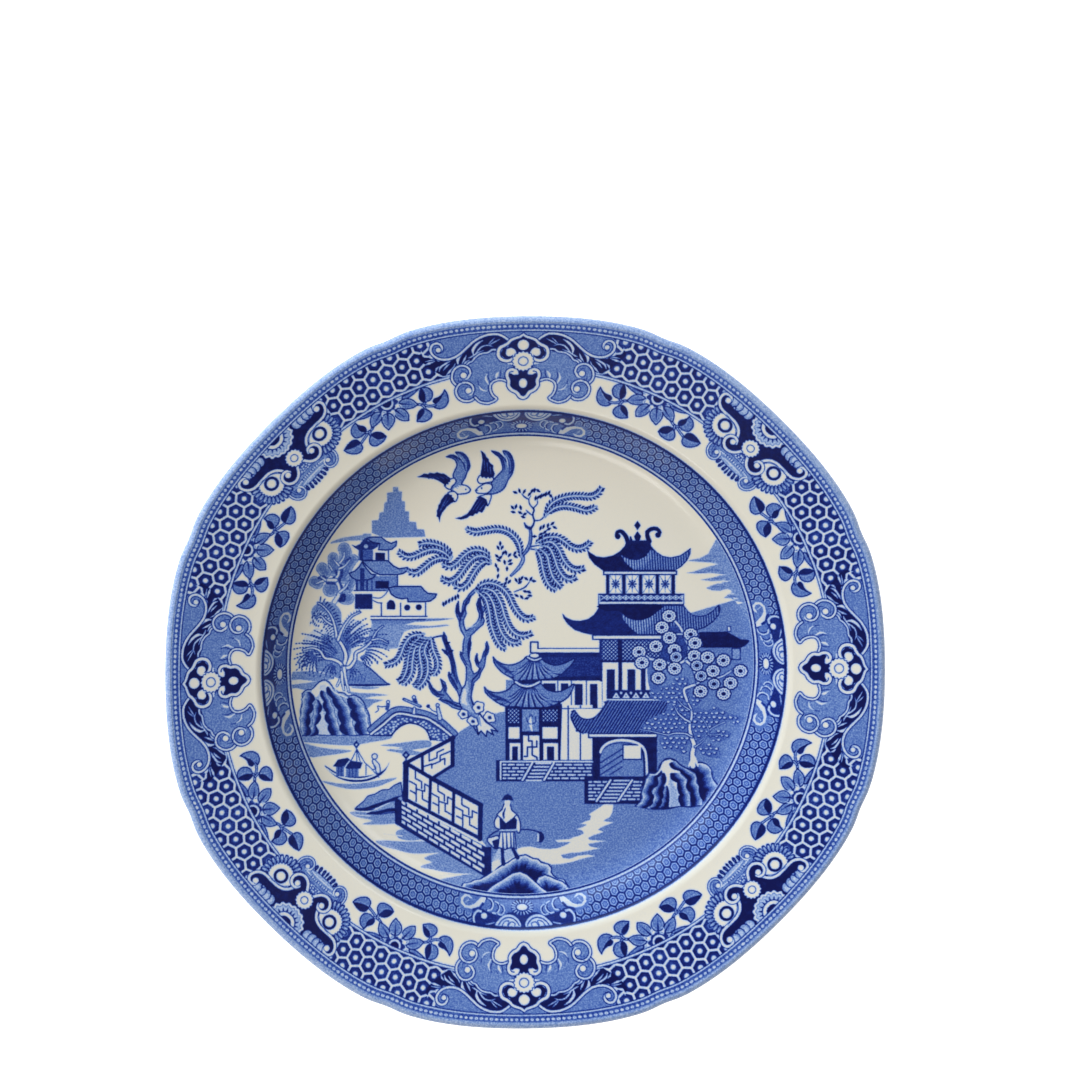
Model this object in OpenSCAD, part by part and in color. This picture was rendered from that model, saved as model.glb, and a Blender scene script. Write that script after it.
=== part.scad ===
// Transfer-printed china dinner plate with a lobed, notched rim.
// A fired clay body carries three underglaze transfer prints (scene, inner band
// and border). A clear glaze coat wraps the face, the lip and the back as far as
// the foot ring, and a second patch of glaze fills the recess inside the foot.
// The foot's standing face is wiped bare. Axis +Z, origin at the centre of the
// standing face. Millimetres.

/* [Plate] */
// Diameter across the tips of the lobes, over the glaze
plate_d = 265; // [250:1:280]
// Height from the standing face to the top of the rim
plate_h = 29; // [27:0.1:31]
// Height of the glazed well floor above the standing face
floor_z = 7; // [6.5:0.1:8]

/* [Well and cavetto] */
// Radius where the flat well floor ends
well_r = 73; // [71:0.5:75]
// Outer radius of the scene print and inner radius of the band print
scene_r = 84.2; // [82:0.1:86]
// Outer radius of the band print
band_r = 95.4; // [94:0.1:96.5]
// Inner radius of the border print
border_r = 99; // [98:0.1:101]
// Radius of the shoulder where the cavetto ends
shoulder_r = 98; // [97:0.1:99]
// How much the cavetto's curve leans towards the shoulder
cavetto_lean = 1.9; // [1.5:0.1:2]
// Rise of the rim for each millimetre of radius
rim_rise = 0.21; // [0.16:0.01:0.26]

/* [Edge] */
// Number of lobes round the edge
lobes = 8; // [8]
// Depth of each lobe's swing either side of the mean edge
lobe_depth = 0.95; // [0.4:0.05:1.4]
// Depth of the small notch at the tip of each lobe
notch_depth = 0.6; // [0:0.05:0.9]
// Half width of the notch in degrees
notch_w = 2.2; // [1.6:0.1:3]
// Radius of the rounded lip of the clay body
lip_r = 1.5; // [1.3:0.1:1.8]

/* [Foot ring] */
// Outer radius of the foot's standing face
foot_r = 71.2; // [69:0.1:72]
// Width of the foot's standing face
foot_w = 3.8; // [3:0.1:4.5]
// Depth of the recess inside the foot
recess_z = 2.5; // [2.2:0.1:2.8]

/* [Layers] */
// Thickness of the clay at the edge of the rim
wall_rim = 3; // [2.8:0.1:3.4]
// Thickness of the clay at the cavetto
wall_well = 4.4; // [4:0.1:4.8]
// Thickness of the clear glaze over bare clay
glaze_t = 0.3; // [0.2:0.05:0.4]
// Thickness of each transfer print
print_t = 0.06; // [0.04:0.01:0.1]

/* [Smoothness] */
// Steps round the plate, a multiple of 16
segs = 80; // [48:16:96]

/* [Hidden] */

edge_r = plate_d / 2 - lobe_depth - glaze_t; // mean radius of the clay's edge
lip_c = edge_r - lip_r;                      // radius of the lip's centre
clay_floor = floor_z - glaze_t;              // clay surface in the well
clay_top = plate_h - glaze_t;                // clay surface at the lip
ramp_r = 90;                                 // the rim's rise fades in over
ramp_w = 12;                                 // these millimetres of radius
lobe_start = 105;                            // the lobes fade out inside this radius
cream = [0.91, 0.89, 0.82];
mid_blue = [0.36, 0.46, 0.76];
deep_blue = [0.13, 0.18, 0.52];

// ---- the face's curve, as the height of the clay at a radius ----
function clamp01(t) = max(0, min(1, t));
function smooth(t) = t * t * (3 - 2 * t);
function cavetto(r) =
    smooth(pow(clamp01((r - well_r) / (shoulder_r - well_r)), cavetto_lean));
function rim_part(r) = let (x = r - ramp_r)
    rim_rise * (x <= 0 ? 0 : x < ramp_w ? x * x / (2 * ramp_w) : x - ramp_w / 2);
function face_z(r) =
    clay_floor + (clay_top - rim_part(lip_c) - clay_floor) * cavetto(r) + rim_part(r);
function slope(r) = atan((face_z(r + 0.1) - face_z(r - 0.1)) / 0.2);

// ---- points on the section, each as [radius, height] ----
// d lifts a point off the clay along the surface's normal.
function face_pt(r, d) = r == 0 ? [0, clay_floor + d]
    : [r - d * sin(slope(r)), face_z(r) + d * cos(slope(r))];
function wall(r) = wall_rim + (wall_well - wall_rim) * clamp01((lip_c - 2 - r) / 32);
function back_pt(r, d) =
    [r + (wall(r) + d) * sin(slope(r)), face_z(r) - (wall(r) + d) * cos(slope(r))];
function lip_pt(a, d) =
    [lip_c + (lip_r + d) * cos(a), clay_top - lip_r + (lip_r + d) * sin(a)];

scene_rings = [0, well_r, 77, 80.7, scene_r];
band_rings = [scene_r, 87.5, 91, band_r];
border_rings = [border_r, 103.5, 111, 119, 127];
lip_top = [72, 38, 0];
lip_under = [-40, -78];
back_rings = [127, 118, 108, 101, 96.5, 92, 87.5, 83, 79];

function reversed(v) = [for (i = [len(v) - 1:-1:0]) v[i]];
function scene_pts(d) = [for (r = scene_rings) face_pt(r, d)];
function band_pts(d) = [for (r = band_rings) face_pt(r, d)];
function border_pts(d) = concat([for (r = border_rings) face_pt(r, d)],
                                [for (a = lip_top) lip_pt(a, d)]);
function under_pts(d) = concat([for (a = lip_under) lip_pt(a, d)],
                               [for (r = back_rings) back_pt(r, d)]);
// The foot's outer flank, its standing face, its inner flank and the recess
function flank_out(d) = [[foot_r + 4.8, 3 - d], [foot_r + 2.2 + 0.6 * d, 2.3 - 0.8 * d],
                         [foot_r + 1 + d, 1]];
function flank_in(d) = [[foot_r - foot_w - 0.8 - d, 0.9],
                        [foot_r - foot_w - 2.2 - 0.8 * d, recess_z - 0.4 - 0.8 * d],
                        [foot_r - foot_w - 5.4, recess_z - d], [0, recess_z - d]];
stand = [[foot_r, 0], [foot_r - foot_w, 0]];

// The whole face from the axis to the lip's widest point, at one depth
function face_all(d) = concat(scene_pts(d), [for (i = [1:len(band_rings) - 1]) band_pts(d)[i]],
                              border_pts(d));

// ---- a section swept round the axis, following the lobed edge ----
function edge_swing(a) =
    let (p = 360 / lobes, off = a - p * floor(a / p) - p / 2)
    -lobe_depth * cos(lobes * a) - notch_depth * exp(-pow(off / notch_w, 2));
function follow(r) = smooth(clamp01((r - lobe_start) / (lip_c - lobe_start)));
function spot(p, k) = let (a = 360 * k / segs, r = p[0] + follow(p[0]) * edge_swing(a))
    [r * cos(a), r * sin(a), p[1]];
function before(p, q) = p[0] < q[0] || (p[0] == q[0] && p[1] < q[1]);
// Two triangles, always cut along the same diagonal so that layers lie flush
function patch(i, j, k, lower) = let (m = (k + 1) % segs,
        a = i * segs + k, b = i * segs + m, c = j * segs + m, d = j * segs + k)
    lower ? [[a, b, c], [a, c, d]] : [[a, b, d], [b, c, d]];

// A ring-shaped section, which doesn't touch the axis
module ring_solid(pts) {
    n = len(pts);
    polyhedron(points = [for (p = pts) for (k = [0:segs - 1]) spot(p, k)],
        faces = [for (i = [0:n - 1]) for (k = [0:segs - 1])
            let (j = (i + 1) % n) for (t = patch(i, j, k, before(pts[i], pts[j]))) t]);
}

// A section whose first and last points lie on the axis
module disc_solid(pts) {
    n = len(pts) - 2;
    mid = [for (i = [1:n]) pts[i]];
    polyhedron(points = concat([for (p = mid) for (k = [0:segs - 1]) spot(p, k)],
            [[0, 0, pts[0][1]], [0, 0, pts[n + 1][1]]]),
        faces = concat(
            [for (i = [0:n - 2]) for (k = [0:segs - 1])
                for (t = patch(i, i + 1, k, before(mid[i], mid[i + 1]))) t],
            [for (k = [0:segs - 1]) [n * segs, (k + 1) % segs, k]],
            [for (k = [0:segs - 1])
                [n * segs + 1, (n - 1) * segs + k, (n - 1) * segs + (k + 1) % segs]]));
}

// ---- the pieces ----
// The fired clay: well, cavetto, rim, lip and foot ring in one
module plate_body() {
    color(cream)
        disc_solid(concat(face_all(0), under_pts(0), flank_out(0), stand, flank_in(0)));
}

// The ink of the central scene, under the glaze
module scene_print() {
    color(mid_blue) disc_solid(concat(scene_pts(print_t), reversed(scene_pts(0))));
}

// The ink of the band on the cavetto
module band_print() {
    color(deep_blue) ring_solid(concat(band_pts(print_t), reversed(band_pts(0))));
}

// The ink of the border, out to the lip
module border_print() {
    color(mid_blue) ring_solid(concat(border_pts(print_t), reversed(border_pts(0))));
}

// The clear glaze over the prints, the lip and the back
module glaze_coat() {
    color([0.92, 0.95, 0.97], 0.35)
        disc_solid(concat(face_all(glaze_t), under_pts(glaze_t), flank_out(glaze_t),
            reversed(flank_out(0)), reversed(under_pts(0)), [lip_pt(0, 0)],
            reversed(border_pts(print_t)), [face_pt(border_r, 0), face_pt(band_r, 0)],
            reversed(band_pts(print_t)),
            [for (i = [len(scene_rings) - 2:-1:0]) scene_pts(print_t)[i]]));
}

// The clear glaze inside the foot ring
module recess_glaze() {
    color([0.92, 0.95, 0.97], 0.35)
        disc_solid(concat(reversed(flank_in(0)), flank_in(glaze_t)));
}

plate_body();
scene_print();
band_print();
border_print();
glaze_coat();
recess_glaze();
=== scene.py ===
import math
import bpy
import numpy as np
from mathutils import Matrix, Vector


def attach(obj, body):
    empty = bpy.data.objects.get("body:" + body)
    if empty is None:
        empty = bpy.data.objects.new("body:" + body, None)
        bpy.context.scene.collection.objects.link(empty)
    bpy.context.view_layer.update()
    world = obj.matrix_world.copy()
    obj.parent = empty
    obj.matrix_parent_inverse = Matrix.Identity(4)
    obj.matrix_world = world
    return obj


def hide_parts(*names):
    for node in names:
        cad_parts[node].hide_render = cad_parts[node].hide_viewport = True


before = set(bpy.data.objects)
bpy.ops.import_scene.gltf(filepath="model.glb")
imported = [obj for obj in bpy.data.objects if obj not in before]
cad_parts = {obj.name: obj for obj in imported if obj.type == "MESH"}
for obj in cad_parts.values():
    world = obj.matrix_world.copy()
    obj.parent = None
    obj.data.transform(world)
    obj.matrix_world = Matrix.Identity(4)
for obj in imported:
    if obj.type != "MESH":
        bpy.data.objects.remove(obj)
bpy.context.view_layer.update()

# == drawing ==
# Everything in this part is in millimetres in the plate's own frame. The section
# repeats part.scad's, so the visual surfaces lie where the CAD layers lie.
PLATE_D, PLATE_H, FLOOR_Z = 265.0, 29.0, 7.0
WELL_R, SCENE_R, BAND_R, SHOULDER_R = 73.0, 84.2, 95.4, 98.0
LEAN, RIM_RISE, LOBE, NOTCH, NOTCH_W = 1.9, 0.21, 0.95, 0.6, 2.2
GLAZE, PRINT, LIP_R = 0.3, 0.06, 1.5
FOOT_R, FOOT_W, RECESS = 71.2, 3.8, 2.5
EDGE_R = PLATE_D / 2 - LOBE - GLAZE
LIP_C = EDGE_R - LIP_R
CLAY_FLOOR, CLAY_TOP = FLOOR_Z - GLAZE, PLATE_H - GLAZE


def smooth(t):
    t = np.clip(t, 0.0, 1.0)
    return t * t * (3 - 2 * t)


def rim_part(r):
    x = np.asarray(r, float) - 90.0
    return RIM_RISE * np.where(x <= 0, 0, np.where(x < 12, x * x / 24, x - 6))


def face_z(r):
    """Height of the clay's face at a mean radius."""
    t = np.clip((np.asarray(r, float) - WELL_R) / (SHOULDER_R - WELL_R), 0, 1)
    return CLAY_FLOOR + (CLAY_TOP - rim_part(LIP_C) - CLAY_FLOOR) * smooth(t**LEAN) + rim_part(r)


def slope(r):
    return np.arctan((face_z(np.asarray(r) + 0.1) - face_z(np.asarray(r) - 0.1)) / 0.2)


def swing(th):
    """How far the lobed edge stands out of its mean circle at an angle."""
    p = math.pi / 4
    off = np.mod(th, p) - p / 2
    return -LOBE * np.cos(8 * th) - NOTCH * np.exp(-((np.degrees(off) / NOTCH_W) ** 2))


def follow(r):
    return smooth((np.asarray(r, float) - 105.0) / (LIP_C - 105.0))


# The viewing direction and distance, which the camera below shares
VIEW_D, VIEW_K = 6000.0, 2.7628            # mm away, pixels per mm at the lip's level
VIEW_F = VIEW_D * VIEW_K
VIEW_N = np.array([0.06122, -0.1486, 0.0])
VIEW_N[2] = math.sqrt(1 - VIEW_N[0] ** 2 - VIEW_N[1] ** 2)
VIEW_X = np.array([1.0, 0, 0]) - VIEW_N * VIEW_N[0]
VIEW_X /= np.linalg.norm(VIEW_X)
VIEW_M = np.stack([VIEW_X, np.cross(VIEW_N, VIEW_X), VIEW_N], axis=1)
VIEW_C = np.array([(525.55 - 540) / VIEW_K, (537.5 - 673.41) / VIEW_K, -VIEW_D])
EYE = -VIEW_M.T @ VIEW_C + np.array([0, 0, CLAY_TOP - LIP_R])


def from_view(px, py):
    """Where a point of the 1080 x 1075 frame lies on the plate's face, as mean x, y."""
    px, py = np.atleast_1d(np.asarray(px, float)), np.atleast_1d(np.asarray(py, float))
    d = np.stack([(px - 540) / VIEW_F, (537.5 - py) / VIEW_F, -np.ones_like(px)], axis=1) @ VIEW_M
    z = np.full(px.shape, 15.0)
    for _ in range(14):
        t = (z - EYE[2]) / d[:, 2]
        x, y = EYE[0] + t * d[:, 0], EYE[1] + t * d[:, 1]
        ra, th = np.hypot(x, y), np.arctan2(y, x)
        r = ra.copy()
        for _ in range(3):
            r = ra - follow(r) * swing(th)
        z = face_z(np.minimum(r, LIP_C)) + GLAZE
    return r * np.cos(th), r * np.sin(th)


# The border's tissue was laid a little unevenly: degrees it is turned at each axis
TURN_AT = np.array([0.0, 45, 90, 135, 180, 225, 270, 315, 360])
TURN = np.array([0.24, -0.1, 0.36, 1.51, 1.19, 0.87, -0.25, 0.7, 0.24])


def turn(th_deg):
    return np.interp(np.mod(th_deg, 360), TURN_AT, TURN)


def curve(pts, n=8, closed=False):
    """A smooth line through points."""
    p = np.asarray(pts, float)
    if len(p) < 3:
        return p
    q = np.vstack([p[-1], p, p[0], p[1]]) if closed else np.vstack([2 * p[0] - p[1], p, 2 * p[-1] - p[-2]])
    t = np.linspace(0, 1, n, endpoint=False)[:, None]
    out = []
    for i in range(1, len(q) - 2):
        a, b, c, d = q[i - 1], q[i], q[i + 1], q[i + 2]
        out.append(0.5 * (2 * b + (c - a) * t + (2 * a - 5 * b + 4 * c - d) * t**2 + (3 * b - a - 3 * c + d) * t**3))
    if not closed:
        out.append(p[-1:])
    return np.vstack(out)


def spiral(c, r0, r1, a0, turns, n=40):
    """A scroll from radius r0 at angle a0 (degrees) winding in to r1. Positive turns anticlockwise."""
    t = np.linspace(0, 1, n)
    a = np.radians(a0 + 360 * turns * t)
    r = r0 + (r1 - r0) * t
    return np.stack([c[0] + r * np.cos(a), c[1] + r * np.sin(a)], axis=1)


class Sheet:
    """A patch of ink laid out flat. Ink goes from 0, bare, to 1, the deepest blue."""

    def __init__(self, x0, y0, x1, y1, step):
        self.x0, self.y0, self.step = x0, y0, step
        self.w, self.h = int(round((x1 - x0) / step)), int(round((y1 - y0) / step))
        self.ink = np.zeros((self.h, self.w), np.float32)

    def _box(self, lo, hi):
        c0 = max(0, int((lo[0] - self.x0) / self.step) - 2)
        c1 = min(self.w, int((hi[0] - self.x0) / self.step) + 3)
        r0 = max(0, int((lo[1] - self.y0) / self.step) - 2)
        r1 = min(self.h, int((hi[1] - self.y0) / self.step) + 3)
        return (r0, r1, c0, c1) if r1 > r0 and c1 > c0 else None

    def _grid(self, b):
        r0, r1, c0, c1 = b
        x = self.x0 + (np.arange(c0, c1) + 0.5) * self.step
        y = self.y0 + (np.arange(r0, r1) + 0.5) * self.step
        return x[None, :], y[:, None]

    def _lay(self, b, cover, value):
        r0, r1, c0, c1 = b
        v = self.ink[r0:r1, c0:c1]
        if callable(value):
            x, y = self._grid(b)
            value = value(x, y)
        v += cover.astype(np.float32) * (value - v)

    def cover_poly(self, pts):
        p = np.asarray(pts, float)
        b = self._box(p.min(0), p.max(0))
        if b is None:
            return None, None
        r0, r1, c0, c1 = b
        ss = 2
        h, w = (r1 - r0) * ss, (c1 - c0) * ss
        q = (p - [self.x0 + c0 * self.step, self.y0 + r0 * self.step]) / self.step * ss
        acc = np.zeros((h, w + 1), np.int32)
        for (xa, ya), (xb, yb) in zip(q, np.roll(q, -1, axis=0)):
            if ya == yb:
                continue
            s = 1 if yb > ya else -1
            lo, hi = (ya, yb) if ya < yb else (yb, ya)
            rows = np.arange(max(0, math.ceil(lo - 0.5)), min(h, math.ceil(hi - 0.5)))
            if not len(rows):
                continue
            xs = xa + (rows + 0.5 - ya) * (xb - xa) / (yb - ya)
            cols = np.clip(np.ceil(xs - 0.5).astype(int), 0, w)
            np.add.at(acc, (rows, cols), s)
        m = (np.cumsum(acc, axis=1)[:, :w] != 0).astype(np.float32)
        return b, m.reshape(r1 - r0, ss, c1 - c0, ss).mean(axis=(1, 3))

    def poly(self, pts, value):
        b, m = self.cover_poly(pts)
        if b is not None:
            self._lay(b, m, value)

    def cover_line(self, pts, width):
        p = np.asarray(pts, float)
        n = len(p)
        wd = np.broadcast_to(np.asarray(width, float), (n,)) if np.ndim(width) else np.full(n, float(width))
        m = wd.max() / 2
        b = self._box(p.min(0) - m, p.max(0) + m)
        if b is None:
            return None, None
        r0, r1, c0, c1 = b
        best = np.full((r1 - r0, c1 - c0), -9.0, np.float32)
        for i in range(max(1, n - 1)):
            a, e = p[i], p[min(i + 1, n - 1)]
            wa, we = wd[i] / 2, wd[min(i + 1, n - 1)] / 2
            mm = max(wa, we)
            sb = self._box(np.minimum(a, e) - mm, np.maximum(a, e) + mm)
            if sb is None:
                continue
            x, y = self._grid(sb)
            d = e - a
            L = float(d @ d)
            t = np.clip(((x - a[0]) * d[0] + (y - a[1]) * d[1]) / L, 0, 1) if L > 0 else 0.0
            dist = np.hypot(x - a[0] - t * d[0], y - a[1] - t * d[1])
            inside = (wa + (we - wa) * t) - dist
            sub = best[sb[0] - r0:sb[1] - r0, sb[2] - c0:sb[3] - c0]
            np.maximum(sub, inside, out=sub)
        return b, np.clip(0.5 + best / self.step, 0, 1)

    def line(self, pts, width, value):
        b, m = self.cover_line(pts, width)
        if b is not None:
            self._lay(b, m, value)

    def disc(self, c, r, value, ry=None, soft=0.0, tilt=0.0, wave=0, wave_h=0.0):
        ry = ry or r
        m = max(r, ry) * (1 + wave_h) + soft
        b = self._box((c[0] - m, c[1] - m), (c[0] + m, c[1] + m))
        if b is None:
            return
        x, y = self._grid(b)
        x, y = x - c[0], y - c[1]
        if tilt:
            ca, sa = math.cos(math.radians(tilt)), math.sin(math.radians(tilt))
            x, y = x * ca + y * sa, -x * sa + y * ca
        q = np.hypot(x / r, y / ry)
        edge = 1.0 + (wave_h * np.cos(wave * np.arctan2(y, x)) if wave else 0.0)
        inside = (edge - q) * min(r, ry)
        self._lay(b, np.clip(0.5 + inside / max(self.step, soft), 0, 1), value)

    def ring(self, c, r, width, value):
        m = r + width
        b = self._box((c[0] - m, c[1] - m), (c[0] + m, c[1] + m))
        if b is None:
            return
        x, y = self._grid(b)
        inside = width / 2 - np.abs(np.hypot(x - c[0], y - c[1]) - r)
        self._lay(b, np.clip(0.5 + inside / self.step, 0, 1), value)

    def soften(self, sigma):
        """Lets the ink bleed a little into its surroundings, as under a glaze."""
        n = max(1, int(3 * sigma / self.step))
        k = np.exp(-0.5 * (np.arange(-n, n + 1) * self.step / sigma) ** 2)
        k /= k.sum()
        for axis in (0, 1):
            pad = [(n, n) if a == axis else (0, 0) for a in (0, 1)]
            q = np.pad(self.ink, pad, mode="edge")
            out = np.zeros_like(self.ink)
            for i, f in enumerate(k):
                out += f * (q[i:i + self.h, :] if axis == 0 else q[:, i:i + self.w])
            self.ink = out

    def bleed(self, sigma, share):
        """A faint halo of thinner ink round everything that is printed."""
        sharp = self.ink.copy()
        self.soften(sigma)
        self.ink = np.maximum(sharp, share * self.ink)

    def at(self, x, y):
        """The ink at points, blended between the four nearest cells."""
        u = np.clip((x - self.x0) / self.step - 0.5, 0, self.w - 1.001)
        v = np.clip((y - self.y0) / self.step - 0.5, 0, self.h - 1.001)
        i, j = u.astype(int), v.astype(int)
        fu, fv = u - i, v - j
        k = self.ink
        return ((k[j, i] * (1 - fu) + k[j, i + 1] * fu) * (1 - fv)
                + (k[j + 1, i] * (1 - fu) + k[j + 1, i + 1] * fu) * fv)


P = 1 / VIEW_K          # one pixel of the frame, in millimetres
NAVY, DARK, DEEP, MID, SOFT, PALE, BARE = 1.0, 0.86, 0.7, 0.5, 0.36, 0.2, 0.0


class Pen:
    """Draws on a sheet with points given on a motif's own grid."""

    def __init__(self, sheet, ox, oy, k, side=0):
        self.s, self.ox, self.oy, self.k, self.side = sheet, ox, oy, k, side
        self.m = P / k     # one grid unit in mm

    def __call__(self, *pts):
        a = np.asarray(pts, float)
        x, y = from_view(self.ox + a[:, 0] / self.k, self.oy + a[:, 1] / self.k)
        if self.side:
            th = np.degrees(np.arctan2(y, x))
            phi = np.radians(self.side * (th - turn(th) - 90))
            r = np.hypot(x, y)
            x, y = r * np.sin(phi), r * np.cos(phi)
        return np.stack([x, y], axis=1)

    def fill(self, pts, v, smooth_n=0):
        p = self(*pts)
        self.s.poly(curve(p, smooth_n, closed=True) if smooth_n else p, v)

    def line(self, pts, w, v, smooth_n=6):
        """A line w grid units wide."""
        p = self(*pts)
        if smooth_n and len(p) > 2:
            q = curve(p, smooth_n)
            if np.ndim(w):
                w = np.interp(np.linspace(0, 1, len(q)), np.linspace(0, 1, len(w)), w)
            p = q
        elif np.ndim(w):
            w = np.interp(np.linspace(0, 1, len(p)), np.linspace(0, 1, len(w)), w)
        self.s.line(p, np.asarray(w) * self.m, v)

    def cased(self, pts, w, v, case=12, cv=0.95, smooth_n=6):
        """A light line between two dark ones."""
        self.line(pts, np.asarray(w) + 2 * case, cv, smooth_n)
        self.line(pts, w, v, smooth_n)

    def dot(self, c, r, v, ry=None, **kw):
        p = self(c)[0]
        self.s.disc(p, r * self.m, v, ry=ry * self.m if ry else None, **kw)

    def leaf(self, pts, v, edge=14, ev=0.95, smooth_n=5):
        self.fill(pts, v, smooth_n)
        self.line(list(pts) + [pts[0]], edge, ev, smooth_n)


# ---- the border: one eighth of the ring, from axis A (phi 0) to axis B (phi 45) ----
def border_sheet():
    s = Sheet(-4, 62, 102, 134, 0.08)
    rng = np.random.default_rng(7)
    X, Y = s._grid((0, s.h, 0, s.w))
    R, PHI = np.hypot(X, Y), np.degrees(np.arctan2(X, Y))
    # honeycomb panel: hexagons in rows that follow the rim
    pitch, rows = 2.63, (R_ROW0 + 4.9, R_ROW0, R_ROW0 - 5.05, R_ROW0 - 10.2)
    best = np.full(R.shape, 1e9, np.float32)
    second = best.copy()
    bx, by, tone = (np.zeros_like(best) for _ in range(3))
    sx, sy = np.zeros_like(best), np.zeros_like(best)
    tones = rng.uniform(0.0, 1.0, 400)
    for k, rr in enumerate(rows):
        off = 19.45 + (0 if k % 2 == 0 else pitch / 2)
        base = np.round((PHI - off) / pitch)
        for j in (-1, 0, 1):
            a = np.radians(off + (base + j) * pitch)
            cx, cy = rr * np.sin(a), rr * np.cos(a)
            d = np.hypot(X - cx, Y - cy)
            nearer = d < best
            nxt = np.where(nearer, best, np.minimum(second, d))
            sx = np.where(nearer, bx, np.where(d < second, cx, sx))
            sy = np.where(nearer, by, np.where(d < second, cy, sy))
            second = nxt
            tone = np.where(nearer, tones[((base + j).astype(int) * 7 + k * 31) % 400], tone)
            bx, by = np.where(nearer, cx, bx), np.where(nearer, cy, by)
            best = np.where(nearer, d, best)
    gap = np.maximum(np.hypot(sx - bx, sy - by), 1e-3)
    edge = (second**2 - best**2) / (2 * gap)
    cell = np.where(tone > 0.72, 0.92, 0.98) - 0.1 * np.clip(1 - np.abs(best - 1.5), 0, 1)
    net = np.clip(0.5 + (0.43 - edge) / 0.16, 0, 1)
    ink = cell * (1 - net)
    ink *= 1 - np.clip(0.5 + (0.92 - best) / 0.5, 0, 1)
    panel = (R > R_CHORD) & (R < R_LINE)
    s.ink[panel] = ink[panel].astype(np.float32)

    # ---- half flower and sprigs that hang from the panel's inner edge ----
    g = Pen(s, 590, 370, 13.07, side=-1)
    stem = [((240, 415), (330, 428), (430, 405), (490, 400)), ((420, 410), (385, 370), (372, 330)),
            ((430, 410), (395, 440), (385, 490)), ((1060, 660), (1090, 710), (1130, 745), (1160, 790), (1220, 870)),
            ((1120, 735), (1190, 742)), ((1110, 720), (1095, 780), (1070, 800))]
    for st in stem:
        g.cased(st, 11, PALE, case=13, cv=0.9)
    leaves = [  # outline, dark half, rib
        (((138, 222), (100, 290), (90, 380), (130, 445), (200, 468), (270, 445), (240, 412), (285, 372), (262, 332), (205, 310), (162, 268)),
         ((142, 228), (166, 275), (210, 310), (268, 332), (286, 372), (236, 396), (190, 350), (156, 290)), ((160, 300), (195, 365), (250, 412))),
        (((298, 310), (296, 250), (335, 198), (395, 180), (448, 192), (466, 260), (462, 325), (420, 370), (375, 368), (325, 350)),
         ((440, 192), (402, 240), (386, 300), (392, 362), (430, 366), (464, 322), (467, 258)), ((392, 230), (365, 290), (376, 365))),
        (((492, 622), (484, 530), (446, 472), (396, 462), (330, 492), (300, 545), (330, 598), (400, 628)),
         ((398, 478), (444, 472), (482, 530), (486, 606), (436, 566), (404, 524)), ((388, 480), (392, 530), (430, 575))),
        (((1300, 606), (1346, 670), (1346, 745), (1290, 800), (1215, 785), (1175, 745), (1154, 700), (1186, 658), (1256, 640)),
         ((1160, 722), (1158, 682), (1200, 652), (1268, 636), (1298, 612), (1262, 690), (1205, 730)), ((1285, 640), (1250, 710), (1180, 742))),
        (((892, 800), (950, 750), (1030, 738), (1090, 772), (1112, 850), (1080, 908), (1010, 912), (930, 862)),
         ((902, 800), (955, 748), (1035, 738), (1086, 768), (1060, 812), (990, 842)), ((930, 832), (1010, 838), (1085, 790))),
        (((1442, 955), (1392, 882), (1330, 832), (1268, 832), (1222, 880), (1200, 935), (1235, 992), (1310, 1008), (1395, 990)),
         ((1232, 880), (1272, 832), (1330, 832), (1390, 882), (1436, 950), (1340, 932), (1272, 905)), ((1400, 955), (1320, 945), (1225, 885)))]
    for outline, dark, rib in leaves:
        g.leaf(outline, 0.52, edge=15)
        g.fill(dark, 0.96, 4)
        g.line(rib, 9, SOFT)
    petals = [((478, 200), (560, 222), (650, 262), (690, 318), (620, 312), (545, 262)),
              ((1268, 566), (1185, 552), (1100, 520), (1050, 478), (1105, 470), (1185, 505)),
              ((482, 402), (560, 335), (650, 318), (725, 362), (700, 432), (640, 452), (550, 440)),
              ((600, 604), (604, 525), (655, 465), (738, 440), (792, 500), (745, 570), (670, 604)),
              ((862, 716), (800, 640), (784, 570), (820, 515), (870, 500), (930, 525), (952, 590), (920, 660)),
              ((1082, 680), (1010, 632), (955, 565), (955, 490), (1020, 478), (1082, 520), (1102, 595))]
    for pt in petals:
        g.leaf(pt, 0.36, edge=15)
        mid = np.mean(np.asarray(pt, float), axis=0)
        g.fill([tuple(mid + (np.array(v) - mid) * 0.74) for v in pt], 0.52, 4)
        tip, base = np.array(pt[0]), np.array([885.0, 370.0])
        q = [tuple(tip + (base - tip) * f) for f in (0.2, 0.36, 0.62)]
        g.line(q, (4, 12, 26), 0.92)
    g.fill(((740, 345), (770, 400), (800, 460), (870, 490), (950, 480), (1020, 450), (1050, 440), (930, 360), (820, 310)), 0.85, 4)
    for v in (((700, 430), (712, 398), (748, 384), (775, 402)), ((790, 532), (788, 480), (812, 462), (832, 488)),
              ((900, 480), (935, 470), (950, 500), (942, 540)), ((1010, 440), (1045, 440), (1070, 462)), ((700, 290), (745, 312))):
        g.line(v, 15, 0.08)
    g.dot((888, 372), 84, BARE)
    g.dot((890, 366), 62, NAVY)

    # cover whatever of the flower ran over the panel, and draw the panel's edge
    hold = (R > R_CHORD) & (R < R_LINE)
    s.ink[hold] = ink[hold].astype(np.float32)
    for rr, w, v in ((R_CHORD, 1.35, 0.9), (R_CHORD, 0.7, 0.16)):
        a = np.radians(np.linspace(12, 36.5, 60))
        s.line(np.stack([rr * np.sin(a), rr * np.cos(a)], 1), w, v)

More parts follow.
